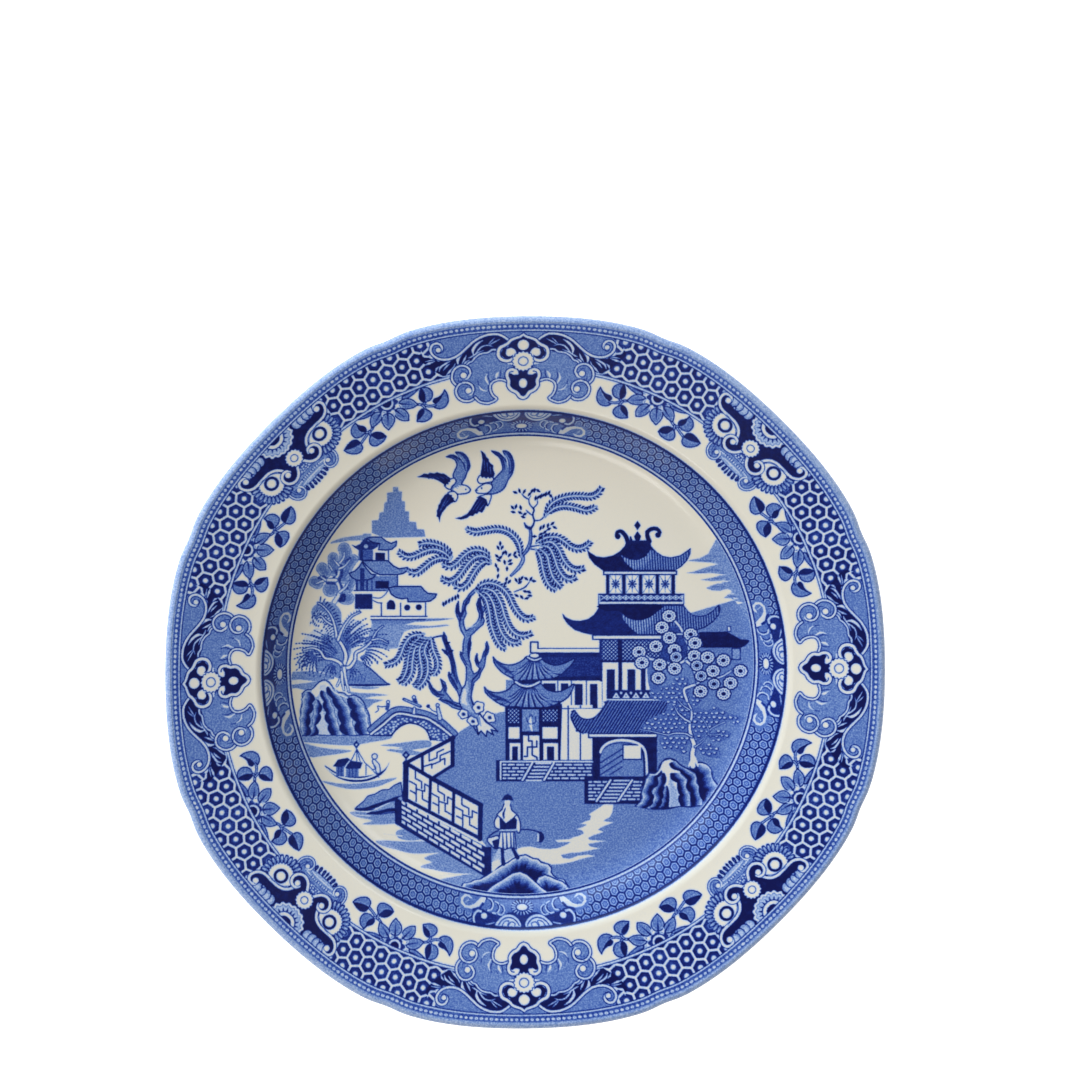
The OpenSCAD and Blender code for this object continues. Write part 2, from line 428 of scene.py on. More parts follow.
    # ---- axis A: cloud, feather, long scroll, rosette between trefoil and shield ----
    g = Pen(s, 400, 300, 12.06, side=1)
    lip_wedge = ((1500, 372), (1200, 380), (900, 412), (640, 446), (480, 470), (385, 500), (352, 560), (360, 640), (420, 710), (520, 740),
                 (620, 715), (720, 655), (800, 575), (900, 485), (1000, 430), (1130, 405), (1300, 480), (1400, 450), (1500, 400))
    feather = ((1290, 500), (1130, 425), (1000, 440), (900, 495), (800, 580), (720, 660), (620, 722), (520, 742), (430, 730), (330, 690),
               (262, 640), (235, 690), (280, 760), (400, 850), (470, 890), (560, 930), (640, 880), (700, 820), (800, 790), (880, 730),
               (960, 680), (1060, 650), (1170, 615))
    g.fill(feather, NAVY, 4)
    tufts = [(((1065, 535), (1100, 495), (1142, 458)), (4, 13, 3)), (((1080, 540), (1130, 510), (1205, 470)), (5, 15, 3)),
             (((955, 600), (990, 560), (1060, 545), (1120, 560)), (5, 16, 12, 3)),
             (((885, 665), (880, 600), (930, 530), (1003, 482)), (8, 34, 30, 4)), (((900, 660), (945, 600), (975, 560)), (5, 18, 4)),
             (((820, 700), (850, 690), (930, 640), (1010, 605)), (4, 16, 14, 3)),
             (((700, 780), (696, 720), (735, 655), (803, 608)), (10, 34, 28, 4)), (((745, 770), (780, 710), (800, 660)), (6, 22, 4)),
             (((760, 790), (790, 752), (840, 720)), (5, 24, 4)), (((640, 830), (655, 790), (668, 760)), (4, 12, 3)),
             (((470, 862), (490, 810), (560, 760), (610, 735)), (6, 24, 20, 3)), (((520, 850), (560, 800), (600, 768)), (5, 20, 4)),
             (((430, 862), (440, 830), (470, 800)), (4, 22, 4)), (((560, 905), (600, 860), (650, 800)), (6, 24, 5)),
             (((300, 782), (350, 765), (425, 735)), (6, 26, 3)), (((262, 650), (300, 680), (400, 682)), (4, 30, 3)),
             (((300, 745), (360, 730), (420, 720)), (3, 14, 3)), (((318, 498), (330, 545), (345, 590)), (22, 20, 4)),
             (((255, 610), (262, 636), (285, 665)), (4, 18, 8)), (((520, 925), (600, 905), (640, 850)), (10, 16, 4))]
    for pts, w in tufts:
        g.line(pts, np.array(w), 0.03)
    g.line(((905, 610), (925, 570), (965, 525)), (3, 7, 2), 0.9)
    g.line(((712, 735), (735, 690), (770, 645)), (3, 7, 2), 0.9)
    g.fill(lip_wedge, 0.5, 4)
    cloud = ((1300, 770), (1225, 730), (1178, 665), (1165, 612), (1062, 648), (962, 670), (892, 716), (830, 768), (760, 792), (690, 808),
             (640, 862), (622, 935), (645, 995), (690, 1038), (672, 1100), (700, 1170), (768, 1215), (850, 1210), (905, 1172), (960, 1222),
             (1055, 1242), (1120, 1222), (1165, 1188), (1118, 1150), (1088, 1085), (1092, 1015), (1135, 975), (1205, 955), (1285, 975),
             (1285, 880), (1330, 835), (1370, 800))
    g.fill(cloud, 0.48)
    g.cased(((1168, 598), (1110, 600), (1062, 632), (1010, 640), (962, 652), (905, 692), (870, 738), (832, 752), (800, 785)), 20, 0.06, case=11)
    g.cased(((825, 930), (848, 880), (826, 822), (762, 792), (690, 806), (640, 862), (624, 930), (642, 988), (690, 1036)), 24, 0.04)
    g.cased(((868, 1125), (884, 1075), (862, 1022), (802, 994), (740, 1002), (695, 1040), (674, 1100), (700, 1170), (768, 1215), (850, 1212), (905, 1172)), 24, 0.04)
    g.cased(((905, 1172), (960, 1222), (1050, 1243), (1120, 1222), (1163, 1190), (1120, 1150), (1090, 1088), (1092, 1018), (1135, 975), (1205, 956), (1290, 976)), 22, 0.04)
    g.line(((785, 948), (820, 935), (838, 900)), (20, 30, 24), 0.04)
    g.line(((828, 1135), (858, 1132), (876, 1100)), (20, 30, 24), 0.04)
    for c in ((766, 908), (826, 1092)):
        g.dot(c, 47, 0.9)
        g.dot(c, 37, 0.02)
    g.line(((700, 930), (712, 985), (760, 1000)), (6, 12, 5), 0.85)
    g.line(((735, 850), (790, 850)), (8, 6), 0.85)
    g.line(((735, 1060), (760, 1040), (800, 1050)), (6, 10, 5), 0.8)
    for pts, w, v in ((((1213, 838), (1214, 890), (1200, 945)), (5, 13, 9), 0.88), (((1195, 862), (1168, 900), (1160, 936)), (8, 32, 20), 0.05),
                      (((1070, 862), (1062, 930), (1088, 985)), (5, 14, 8), 0.88), (((1048, 885), (1034, 950), (1066, 1012)), (6, 26, 14), 0.05),
                      (((938, 968), (958, 1040), (1052, 1112)), (6, 15, 8), 0.88), (((950, 1030), (985, 1078), (1050, 1100)), (6, 22, 10), 0.05),
                      (((1140, 870), (1150, 850)), (5, 4), 0.8)):
        g.line(pts, np.array(w), v)
    g.cased(((455, 628), (492, 612), (506, 578), (485, 538), (438, 522), (390, 542), (368, 592), (382, 645), (432, 692), (500, 716), (580, 714),
             (660, 688), (740, 634), (820, 560), (900, 490), (1000, 436), (1100, 412), (1190, 414), (1262, 448), (1312, 486)), 27, 0.03, case=11)
    g.dot((462, 600), 40, 0.9)
    g.dot((462, 602), 30, 0.03)
    g.line(((405, 560), (390, 620), (420, 670)), (5, 9, 4), 0.8)
    # shield
    g.fill(((1510, 850), (1440, 842), (1418, 882), (1380, 902), (1330, 882), (1318, 925), (1340, 965), (1332, 1010), (1350, 1056), (1402, 1084),
            (1436, 1128), (1480, 1145), (1510, 1145)), NAVY, 4)
    g.cased(((1412, 882), (1392, 846), (1340, 838), (1298, 866), (1290, 920), (1312, 972), (1308, 1030), (1345, 1080), (1406, 1112), (1446, 1162),
             (1490, 1178), (1530, 1178)), 36, 0.03)
    g.dot((1396, 872), 30, 0.03)
    p0 = g((1487, 1000))[0]
    s.disc((0, p0[1]), 49 * g.m, 0.02, ry=60 * g.m)
    # trefoil
    g.fill(((1510, 425), (1450, 462), (1385, 480), (1330, 525), (1290, 575), (1242, 588), (1222, 640), (1250, 692), (1310, 702), (1356, 674),
            (1400, 632), (1450, 622), (1510, 612)), NAVY, 4)
    g.cased(((1300, 604), (1345, 592), (1380, 625), (1378, 682), (1335, 722), (1268, 732), (1208, 704), (1184, 645), (1204, 578), (1262, 545),
             (1302, 520), (1338, 482), (1395, 458), (1450, 440), (1496, 408)), (34, 34, 38, 38, 38, 38, 38, 38, 38, 36, 34, 32, 30, 28, 26), 0.03)
    g.dot((1322, 636), 46, 0.03)
    p0 = g((1487, 540))[0]
    s.disc((0, p0[1]), 68 * g.m, 0.02)
    # rosette
    p0 = g((1487, 735))[0]
    s.disc((0, p0[1]), 134 * g.m, 0.9, wave=16, wave_h=0.05)
    s.disc((0, p0[1]), 122 * g.m, 0.02, wave=16, wave_h=0.06)
    s.ring((0, p0[1]), 57 * g.m, 13 * g.m, 0.75)

    # ---- axis B: dark body, long scroll, ringed disc with petals, daisy at the lip ----
    g = Pen(s, 640, 330, 12.06, side=-1)
    body = ((1085, 765), (1160, 830), (1260, 905), (1400, 1010), (1500, 1090), (1640, 1200), (1700, 1300), (1500, 1400), (1340, 1440), (1230, 1450),
            (1130, 1470), (1052, 1432), (1012, 1370), (1030, 1300), (1092, 1275), (1150, 1305), (1188, 1250), (1182, 1170), (1146, 1108),
            (1080, 1040), (1012, 972), (975, 900), (985, 820), (1035, 780))
    # inner cartouche, under the body
    h = Pen(s, 690, 410, 15.68, side=-1)
    h.fill(((480, 492), (400, 488), (322, 528), (276, 605), (280, 690), (330, 748), (400, 762), (455, 735), (520, 760), (640, 850), (760, 960),
            (815, 1060), (770, 1110), (762, 1190), (830, 1258), (930, 1262), (1010, 1200), (1050, 1100), (1052, 1030), (900, 760), (700, 600),
            (560, 540)), 0.47)
    h.fill(((690, 650), (800, 640), (900, 720), (880, 830), (800, 800), (720, 730)), 0.75)
    for i in range(4):
        for j in range(3):
            h.dot((712 + 46 * i + 8 * j, 668 + 44 * j + 26 * i), 15, 0.05)
    h.line(((478, 560), (560, 640), (650, 690), (740, 780), (820, 860), (900, 960)), (6, 10, 8, 10, 8, 6), 0.86)
    for pts in (((455, 520), (400, 540), (350, 600), (345, 680)), ((440, 545), (400, 580), (378, 630))):
        h.line(pts, (6, 12, 12, 6), 0.85)
    h.line(((485, 640), (560, 700), (650, 775), (720, 860), (790, 940), (850, 1040)), 30, 0.86)
    for t in np.linspace(0, 1, 15):
        q = curve(h((490, 650), (560, 705), (650, 780), (720, 862), (790, 945), (846, 1035)), 12)
        s.disc(q[int(t * (len(q) - 1))], 15 * h.m, 0.08)
    h.fill(((470, 705), (560, 762), (660, 850), (750, 950), (822, 1062), (730, 1010), (630, 915), (540, 825)), 0.3, 4)
    h.line(((480, 716), (560, 775), (650, 862), (740, 960), (815, 1058)), (4, 14, 18, 14, 4), 0.08)
    h.line(((478, 742), (545, 838), (636, 930), (735, 1024), (812, 1072)), (6, 14, 14, 12, 5), 0.85)
    for i, (bx0, by0) in enumerate(((462, 790), (505, 845), (552, 900), (600, 948), (650, 992), (700, 1030), (748, 1066))):
        L = (52, 76, 66, 84, 66, 76, 40)[i]
        a = math.radians(222 + (i - 3) * 5)
        tip = (bx0 + L * math.cos(a), by0 - L * math.sin(a))
        midp = (bx0 + 0.5 * L * math.cos(a) - 6, by0 - 0.5 * L * math.sin(a))
        h.line(((bx0 + 10, by0 - 10), midp, tip), (44, 56, 8), 0.96)
        h.line(((bx0 + 2, by0 - 2), midp), (9, 5), 0.5)
    h.cased(((385, 690), (425, 702), (462, 668), (445, 622), (400, 610), (358, 640), (350, 700)), 1, 0.8, case=4)
    h.cased(((500, 488), (402, 486), (322, 528), (278, 605), (282, 690), (332, 746), (398, 758), (452, 728), (472, 676)), 22, 0.1, case=14, cv=0.85)
    h.line(((452, 728), (474, 690), (462, 640), (425, 622)), (22, 30, 30, 20), 0.08)
    h.dot((416, 656), 46, 0.85)
    h.dot((418, 656), 36, 0.03)
    # small half-hexagon frill where the panel meets the petals
    g.fill(body, NAVY, 3)
    for cx, cy in ((1312, 1010), (1252, 960), (1194, 908), (1140, 856)):
        for rr, v in ((66, 0.92), (56, 0.36), (38, 0.22)):
            q = [(cx + rr * (0.62 * math.cos(t) + 0.9 * math.sin(t)) + (42 - rr) * 0.35, cy + rr * (0.9 * math.cos(t) * 0.9 - 0.62 * math.sin(t)) - (42 - rr) * 0.5) for t in np.linspace(0, 2 * math.pi, 18, endpoint=False)]
            g.fill(q, v)
    # daisy, whose centre lies on the lip's line
    c = g((1588, 1182))[0]
    s.disc(c, 250 * g.m, 0.96, wave=18, wave_h=0.03)
    s.disc(c, 240 * g.m, 0.06, wave=18, wave_h=0.05)
    s.disc(c, 210 * g.m, 0.5, wave=18, wave_h=0.05)
    s.disc(c, 198 * g.m, 0.26, wave=18, wave_h=0.05)
    for t in np.arange(0, 360, 20):
        a = math.radians(t)
        d = np.array([math.cos(a), math.sin(a)])
        s.line(np.array([c + d * 128 * g.m, c + d * 172 * g.m]), np.array([26, 8]) * g.m, 0.92)
    s.disc(c, 136 * g.m, 0.9)
    s.disc(c, 122 * g.m, 0.03)
    s.disc(c, 78 * g.m, 1.0)
    # ringed disc with its fringe of petals
    c0 = (1028, 1150)
    c = g(c0)[0]
    for t in np.arange(62, 280, 13.5):
        a = math.radians(t)
        d = np.array([math.cos(a), -math.sin(a)])
        b0, b1, b2 = (tuple(np.array(c0) + d * f) for f in (150, 205, 246))
        g.line((b0, b1, b2), (36, 56, 46), 0.92, 0)
        b0, b1, b2 = (tuple(np.array(c0) + d * f) for f in (170, 205, 236))
        g.line((b0, b1, b2), (14, 36, 28), 0.46, 0)
        b0, b1 = (tuple(np.array(c0) + d * f) for f in (206, 232))
        g.line((b0, b1), (10, 16), 0.24, 0)
    s.disc(c, 168 * g.m, 0.9, wave=26, wave_h=0.03)
    s.disc(c, 158 * g.m, 0.02, wave=26, wave_h=0.04)
    s.disc(c, 92 * g.m, 0.98)
    s.disc(c, 58 * g.m, 0.02, soft=0.2)
    # redraw the part of the dark body that the disc ran over, then the scrolls
    keep = ((1085, 765), (1260, 905), (1380, 1000), (1345, 1100), (1345, 1200), (1380, 1290), (1420, 1340), (1340, 1440), (1230, 1450), (1130, 1470),
            (1052, 1432), (1012, 1370), (1030, 1300), (1092, 1275), (1150, 1305), (1188, 1250), (1182, 1170), (1146, 1108), (1080, 1040),
            (1012, 972), (975, 900), (985, 820), (1035, 780))
    b, m = s.cover_poly(curve(g(*keep), 3, closed=True))
    x, y = s._grid(b)
    daisy = g((1588, 1182))[0]
    m = m * (np.hypot(x - daisy[0], y - daisy[1]) > 246 * g.m)
    shells = s.ink[b[0]:b[1], b[2]:b[3]]
    near_shell = np.zeros_like(m)
    for cx, cy in ((1312, 1010), (1252, 960), (1194, 908), (1140, 856)):
        q = g((cx, cy))[0]
        near_shell = np.maximum(near_shell, (np.hypot(x - q[0], y - q[1]) < 72 * g.m))
    s._lay(b, m * (1 - near_shell), 1.0)
    g.cased(((1092, 862), (1106, 822), (1082, 782), (1030, 768), (984, 798), (962, 860), (976, 930), (1022, 988), (1090, 1050), (1150, 1112), (1186, 1184),
             (1188, 1250), (1170, 1305)), 33, 0.03, case=9)
    g.line(((1040, 1010), (1095, 1078), (1142, 1150), (1155, 1215), (1148, 1270)), (5, 9, 9, 9, 5), 0.8)
    g.dot((1062, 850), 46, 0.95)
    g.dot((1066, 848), 36, 0.03)
    g.cased(((1160, 1368), (1170, 1325), (1140, 1288), (1088, 1276), (1038, 1300), (1014, 1352), (1026, 1412), (1072, 1456), (1142, 1474), (1240, 1458)),
            34, 0.03, case=9)
    g.dot((1118, 1350), 46, 0.98)
    g.dot((1122, 1348), 36, 0.03)
    c = g((1338, 1432))[0]
    rr = np.hypot(*c)
    c = np.array([rr * math.sin(math.pi / 4), rr * math.cos(math.pi / 4)])
    s.disc(c, 118 * g.m, 0.9, wave=15, wave_h=0.05)
    s.disc(c, 106 * g.m, 0.02, wave=15, wave_h=0.06)
    s.ring(c, 46 * g.m, 12 * g.m, 0.75)

    # ---- lines and beads along the lip, and the soft band of colour on it ----
    out = R > R_LINE
    s.ink[out] = 0.72
    s.ink[(R > R_LINE - 0.42) & (R <= R_LINE)] = 0.9
    s.ink[(R > R_LINE) & (R < R_LINE + 0.46)] = 0.1
    n_beads = 53
    for i in range(n_beads + 2):
        a = math.radians((i + 0.5) * 45.0 / n_beads)
        c = (R_BEAD * math.sin(a), R_BEAD * math.cos(a))
        t = math.degrees(a)
        wob = rng.uniform(0.85, 1.15)
        s.disc(c, 0.68 * wob, 0.08, ry=0.48, tilt=-t)
        s.disc(c, 0.26, 0.5 if rng.random() < 0.6 else 0.15, ry=0.16, tilt=-t)
    lip_tone = 0.31 - 0.06 * smooth((R - 130.2) / 1.2) + 0.012 * np.sin(np.radians(PHI) * 148 + 2 * np.sin(np.radians(PHI) * 31)) + 0.02 * np.sin(np.radians(PHI) * 433 + 1.3)
    s.ink[...] = np.where(R > R_LIP - 0.5, s.ink * (1 - smooth((R - R_LIP + 0.5) / 0.9)) + lip_tone * smooth((R - R_LIP + 0.5) / 0.9), s.ink)
    s.soften(0.085)
    s.bleed(0.4, 0.42)
    return s


# ---- the band: again one eighth, from axis A (phi 0) to axis B (phi 45) ----
def band_sheet():
    s = Sheet(-4, 55, 74, 100, 0.07)
    X, Y = s._grid((0, s.h, 0, s.w))
    R, PHI = np.hypot(X, Y), np.degrees(np.arctan2(X, Y))
    pitch = 45 / 23
    best, second = np.full(R.shape, 1e9), np.full(R.shape, 1e9)
    bx, by, sx, sy = (np.zeros(R.shape) for _ in range(4))
    for k, rr in enumerate((97.5, 94.75, 92.0, 89.25, 86.5, 83.75)):
        off = 1.07 + (0 if k % 2 == 0 else pitch / 2)
        base = np.round((PHI - off) / pitch)
        for j in (-1, 0, 1):
            a = np.radians(off + (base + j) * pitch)
            cx, cy = rr * np.sin(a), rr * np.cos(a)
            d = np.hypot(X - cx, Y - cy)
            near = d < best
            nxt = np.where(near, best, np.minimum(second, d))
            sx = np.where(near, bx, np.where(d < second, cx, sx))
            sy = np.where(near, by, np.where(d < second, cy, sy))
            second = nxt
            bx, by = np.where(near, cx, bx), np.where(near, cy, by)
            best = np.where(near, d, best)
    edge = (second**2 - best**2) / (2 * np.maximum(np.hypot(sx - bx, sy - by), 1e-3))
    ink = np.full(R.shape, 0.64)
    ink -= 0.46 * np.clip(1.2 - np.abs(edge - 0.5) / 0.2, 0, 1)
    ink += 0.16 * np.clip(1 - np.abs(edge - 0.86) / 0.16, 0, 1)
    ink -= 0.38 * np.clip(1.1 - np.abs(best - 0.36) / 0.19, 0, 1)
    ink = ink + (0.97 - ink) * np.clip(0.5 + (0.23 - edge) / 0.14, 0, 1)
    s.ink[...] = np.where((R > 86.0) & (R < 95.6), ink, 0)

    g = Pen(s, 0, 0, 1, side=1)
    ground = ((530, 400), (500, 403), (478, 411), (468, 417), (470, 424), (462, 426.5), (455, 431), (454, 437), (460, 441), (475, 441), (500, 438), (530, 437))
    g.fill(ground, 0.55, 3)
    g.fill(((530, 400), (500, 403), (478, 411), (468, 417), (470, 424), (478, 426.5), (484, 424), (492, 421.5), (500, 420), (507, 422), (514, 421.5), (530, 417)), 0.88, 3)
    g.line(((470, 426), (477, 428), (484, 434.5)), 3.2, 0.85)
    g.fill(((493.2, 414), (497, 417.8), (502, 420.2), (508, 420.6), (514, 419), (518.6, 416), (520.4, 412.6), (517, 411), (506, 411.4)), 0.12, 4)
    g.line(((496.5, 414.2), (500, 417), (505, 418.4), (511, 418), (516, 415.4), (518.2, 412.8)), 1.0, 0.85)
    g.line(((500, 413.2), (503, 416), (507.5, 416.2), (506, 413.4)), 0.8, 0.8)
    g.line(((506.5, 412.6), (509.5, 415.4), (513.8, 414.4), (513.5, 412.4)), 0.8, 0.8)
    g.line(((478, 424.6), (474, 425.2), (470.6, 422.6), (470.4, 419), (473, 416), (479, 415.2), (486, 415.4), (492, 416)), (2, 2, 2, 2, 1.6, 1.2, 1, 0.6), 0.1)
    g.dot((481.2, 421.4), 3.2, 0.06, ry=2.6)
    hook = ((484.4, 435.6), (481.6, 430), (479.6, 431), (476, 428), (468, 427.4), (461, 429), (456.8, 432.5), (456.8, 436.6), (461, 439), (466, 438), (469.2, 434.4),
            (466.8, 435.2), (463.4, 437), (460, 436.2), (459, 433.5), (461.5, 430.8), (466, 429.8), (471, 430.6), (476, 433.6), (480, 436))
    g.fill(hook, 0.08)
    g.line(((462, 432.5), (465, 434.5)), 1.2, 0.25)
    for c, w in ((((485, 424.8), (489, 425.2), (490.8, 428.6), (489, 432), (485.4, 434)), 1.4), (((490, 422.6), (494.6, 422.2), (497.8, 425.2), (496.6, 428.8), (493, 430.6)), 1.3),
                 (((496, 421.4), (500, 420.8), (502.8, 423.4), (501.6, 426.4), (499, 427.8)), 1.1)):
        g.line([(x - 1.4, y + 0.2) for x, y in c], w, 0.9)
        g.line(c, w, 0.1)
    p0 = g((521.7, 425.3))[0]
    s.disc((0, p0[1]), 4.2, 0.9, ry=2.5)
    for t in np.arange(0, 360, 20):
        d = np.array([math.cos(math.radians(t)), math.sin(math.radians(t))])
        s.line(np.array([d * [2.7, 1.55], d * [3.9, 2.3]]) + [0, p0[1]], 0.42, 0.22)
    s.disc((0, p0[1]), 2.3, 0.88, ry=1.3)
    s.disc((0, p0[1]), 1.95, 0.04, ry=1.0)
    # lines either side of the band
    s.ink[R >= 95.55] = 0
    s.ink[(R > 94.6) & (R < 95.6)] = 0.93
    s.ink[(R > 85.75) & (R <= 86.3)] = 0.86
    s.ink[(R > 85.0) & (R <= 85.75)] = 0.13
    s.ink[(R > 84.35) & (R <= 85.0)] = 0.92
    s.ink[R <= 84.35] = 0
    s.soften(0.085)
    s.bleed(0.4, 0.42)
    return s


# ---- the picture on the floor of the plate ----
def box(x0, y0, x1, y1):
    return ((x0, y0), (x1, y0), (x1, y1), (x0, y1))


def stripes(lo, hi, pitch, angle=0.0, duty=0.5):
    a = math.radians(angle)
    ca, sa = math.cos(a), math.sin(a)

    def f(x, y):
        t = np.mod((x * ca + y * sa) / pitch, 1.0)
        e = np.clip((duty / 2 - np.abs(t - 0.5)) * pitch / 0.12 + 0.5, 0, 1)
        return (lo + (hi - lo) * e).astype(np.float32)
    return f


def lattice(lo, hi, pitch, duty=0.5):
    f, g = stripes(0, 1, pitch, 45, duty), stripes(0, 1, pitch, -45, duty)
    return lambda x, y: (lo + (hi - lo) * np.maximum(f(x, y), g(x, y))).astype(np.float32)


def ragged(pts, amp, step, rng):
    """The same line with small teeth on it."""
    p = np.asarray(pts, float)
    out = []
    for a, b in zip(p, np.roll(p, -1, axis=0)):
        L = np.hypot(*(b - a))
        n = max(1, int(L / step))
        nrm = np.array([-(b - a)[1], (b - a)[0]]) / max(L, 1e-6)
        for i in range(n):
            out.append(a + (b - a) * i / n + nrm * rng.uniform(-amp, amp) * (1 if i else 0))
    return [tuple(q) for q in out]


def frond(g, pts, w=6.8, gap=3.25):
    """A hanging willow frond: two rows of short, dark leaves along a light rib."""
    p = curve(np.asarray(pts, float), 10)
    seg = np.hypot(*np.diff(p, axis=0).T)
    L = np.concatenate([[0], np.cumsum(seg)])
    total = L[-1]
    u = lambda t: np.array([np.interp(t, L, p[:, 0]), np.interp(t, L, p[:, 1])])
    taper = lambda t: 0.45 + 0.55 * min(1.0, t / (0.18 * total) + 0.1, (total - t) / (0.2 * total) + 0.45)
    spots = np.linspace(0, total, 24)
    body = [tuple(u(t)) for t in spots]
    g.line(body, [w * 0.9 * taper(t) for t in spots], 0.24)
    g.line(body, [w * 0.66 * taper(t) for t in spots], 0.4)
    g.line(body, [w * 0.36 * taper(t) for t in spots], 0.74)
    g.line(body, [w * 0.2 * taper(t) for t in spots], 0.1)
    t = gap * 0.4
    k = 0
    while t < total:
        for sgn in (-1, 1):
            at = min(total, t + (0.5 * gap if sgn > 0 else 0))
            c, d = u(at), u(min(total, at + 0.8)) - u(max(0, at - 0.8))
            d /= max(1e-6, np.hypot(*d))
            n = np.array([-d[1], d[0]])
            h = w / 2 * taper(at)
            a = c + n * sgn * h * 0.5 - d * 0.3
            m = c + n * sgn * h * 0.84 + d * 0.5
            b = c + n * sgn * h * 1.14 + d * 1.7
            g.line([tuple(a), tuple(m), tuple(b)], (1.0, 1.85, 0.9), 1.0, 0)
        t += gap


def leaves(g, spots, size=3.4, v=0.93):
    """Loose pointed leaves: x, y, direction in degrees."""
    for x, y, a in spots:
        d = np.array([math.cos(math.radians(a)), -math.sin(math.radians(a))]) * size / 2
        g.line([(x - d[0], y - d[1]), (x, y), (x + d[0], y + d[1])], (1.3, 2.7, 0.8), v, 0)


def scene_sheet():
    s = Sheet(-86, -86, 86, 86, 0.1)
    g = Pen(s, 0, 0, 1)
    rng = np.random.default_rng(11)
    scene_ground(g, rng)
    scene_upper_left(g, rng)
    scene_trees(g, rng)
    scene_pagoda(g, rng)
    scene_lower(g, rng)
    x, y = s._grid((0, s.h, 0, s.w))
    s.ink[np.hypot(x, y) > 84.3] = 0
    s.soften(0.09)
    s.bleed(0.4, 0.36)
    return s


def scene_ground(g, rng):
    # far sky and water on the right, with bare streaks
    g.fill(((717, 538), (712, 547), (708, 554), (699, 558.4), (690, 560), (687.6, 561), (700, 562), (711, 562.6), (719, 564.2), (711, 566), (702, 568.6), (694, 571.6), (686, 573), (698, 573.6),
            (712, 573), (722, 574.4), (716, 576.8), (707, 578.6), (700, 579.8), (711, 581.2), (726, 580.6), (719, 583.2), (712, 585.2), (706, 588), (712, 590.4), (720, 590.8), (728, 588.6),
            (732.6, 592), (728, 594.4), (724, 598), (731, 598.4), (736, 601), (744, 602.6), (736, 605), (729, 609.4), (722, 616), (716, 622.4), (706, 629.5), (700, 632), (700, 700), (780, 720),
            (790, 600), (740, 520)), 0.43)
    for y, x0, x1 in ((563.4, 711, 717), (574.2, 716, 727), (580.8, 722, 730), (582.4, 716, 724), (589.8, 726, 733), (593.4, 729, 735), (598.2, 734, 738.6)):
        g.line(((x0, y), ((x0 + x1) / 2, y + 0.5), (x1, y + 0.2)), (1.5, 1.1, 0.3), 0.05)
    for y, x0, x1 in ((550, 714, 724), (556, 707, 722), (560.4, 697, 712), (570, 704, 720), (572, 694, 706), (578, 712, 722), (586.6, 712, 724), (596.4, 728, 736)):
        g.line(((x0, y), (x1, y + 0.3)), (0.5, 0.9), 0.62)
    g.fill(((453, 737), (462, 730), (472, 724), (484, 717), (496, 713), (506, 711.4), (506, 680), (600, 680), (600, 640), (735, 600), (760, 640), (780, 700), (762, 790), (700, 860), (620, 905), (545, 915),
            (478, 900), (470, 884), (486, 870), (486, 846), (480, 838), (481, 806), (431, 778), (453, 764)), 0.49)
    g.fill(((484, 717), (496, 713), (500, 712), (494, 716), (488, 719)), 0.3)
    g.fill(((613.5, 804.4), (605, 804), (600, 807), (594, 811), (589, 814), (591, 816), (590, 820), (585, 821.4), (580, 824), (587, 824.4), (583, 827), (576, 829), (582, 830.4), (584, 833),
            (580, 835.4), (573, 837.4), (570, 839), (555, 840), (558, 842.2), (571, 842), (565, 845.4), (558, 848), (550, 849), (540, 848.4), (530, 846.4), (522, 847), (517, 849), (506, 850),
            (500, 856), (492, 862), (492, 872), (510, 862), (519, 855.4), (527, 855), (533, 858), (540, 860.4), (548, 863.4), (552, 864.6), (562, 864), (572, 862), (580, 859.4), (588, 857.4),
            (596, 856), (588, 854.6), (578, 855.6), (570, 858.6), (563, 858), (561, 855), (570, 853), (580, 852.4), (592, 850), (600, 848.4), (590, 846.4), (588, 844), (597, 842.4), (607, 841),
            (590, 840), (588, 838), (594, 835), (604, 832), (598, 830), (600, 828), (609, 824), (614, 822.4), (603, 821), (610, 817), (612.4, 812)), 0.03)
    g.fill(((518, 846), (500, 846), (492, 860), (500, 864), (516, 856)), 0.25)


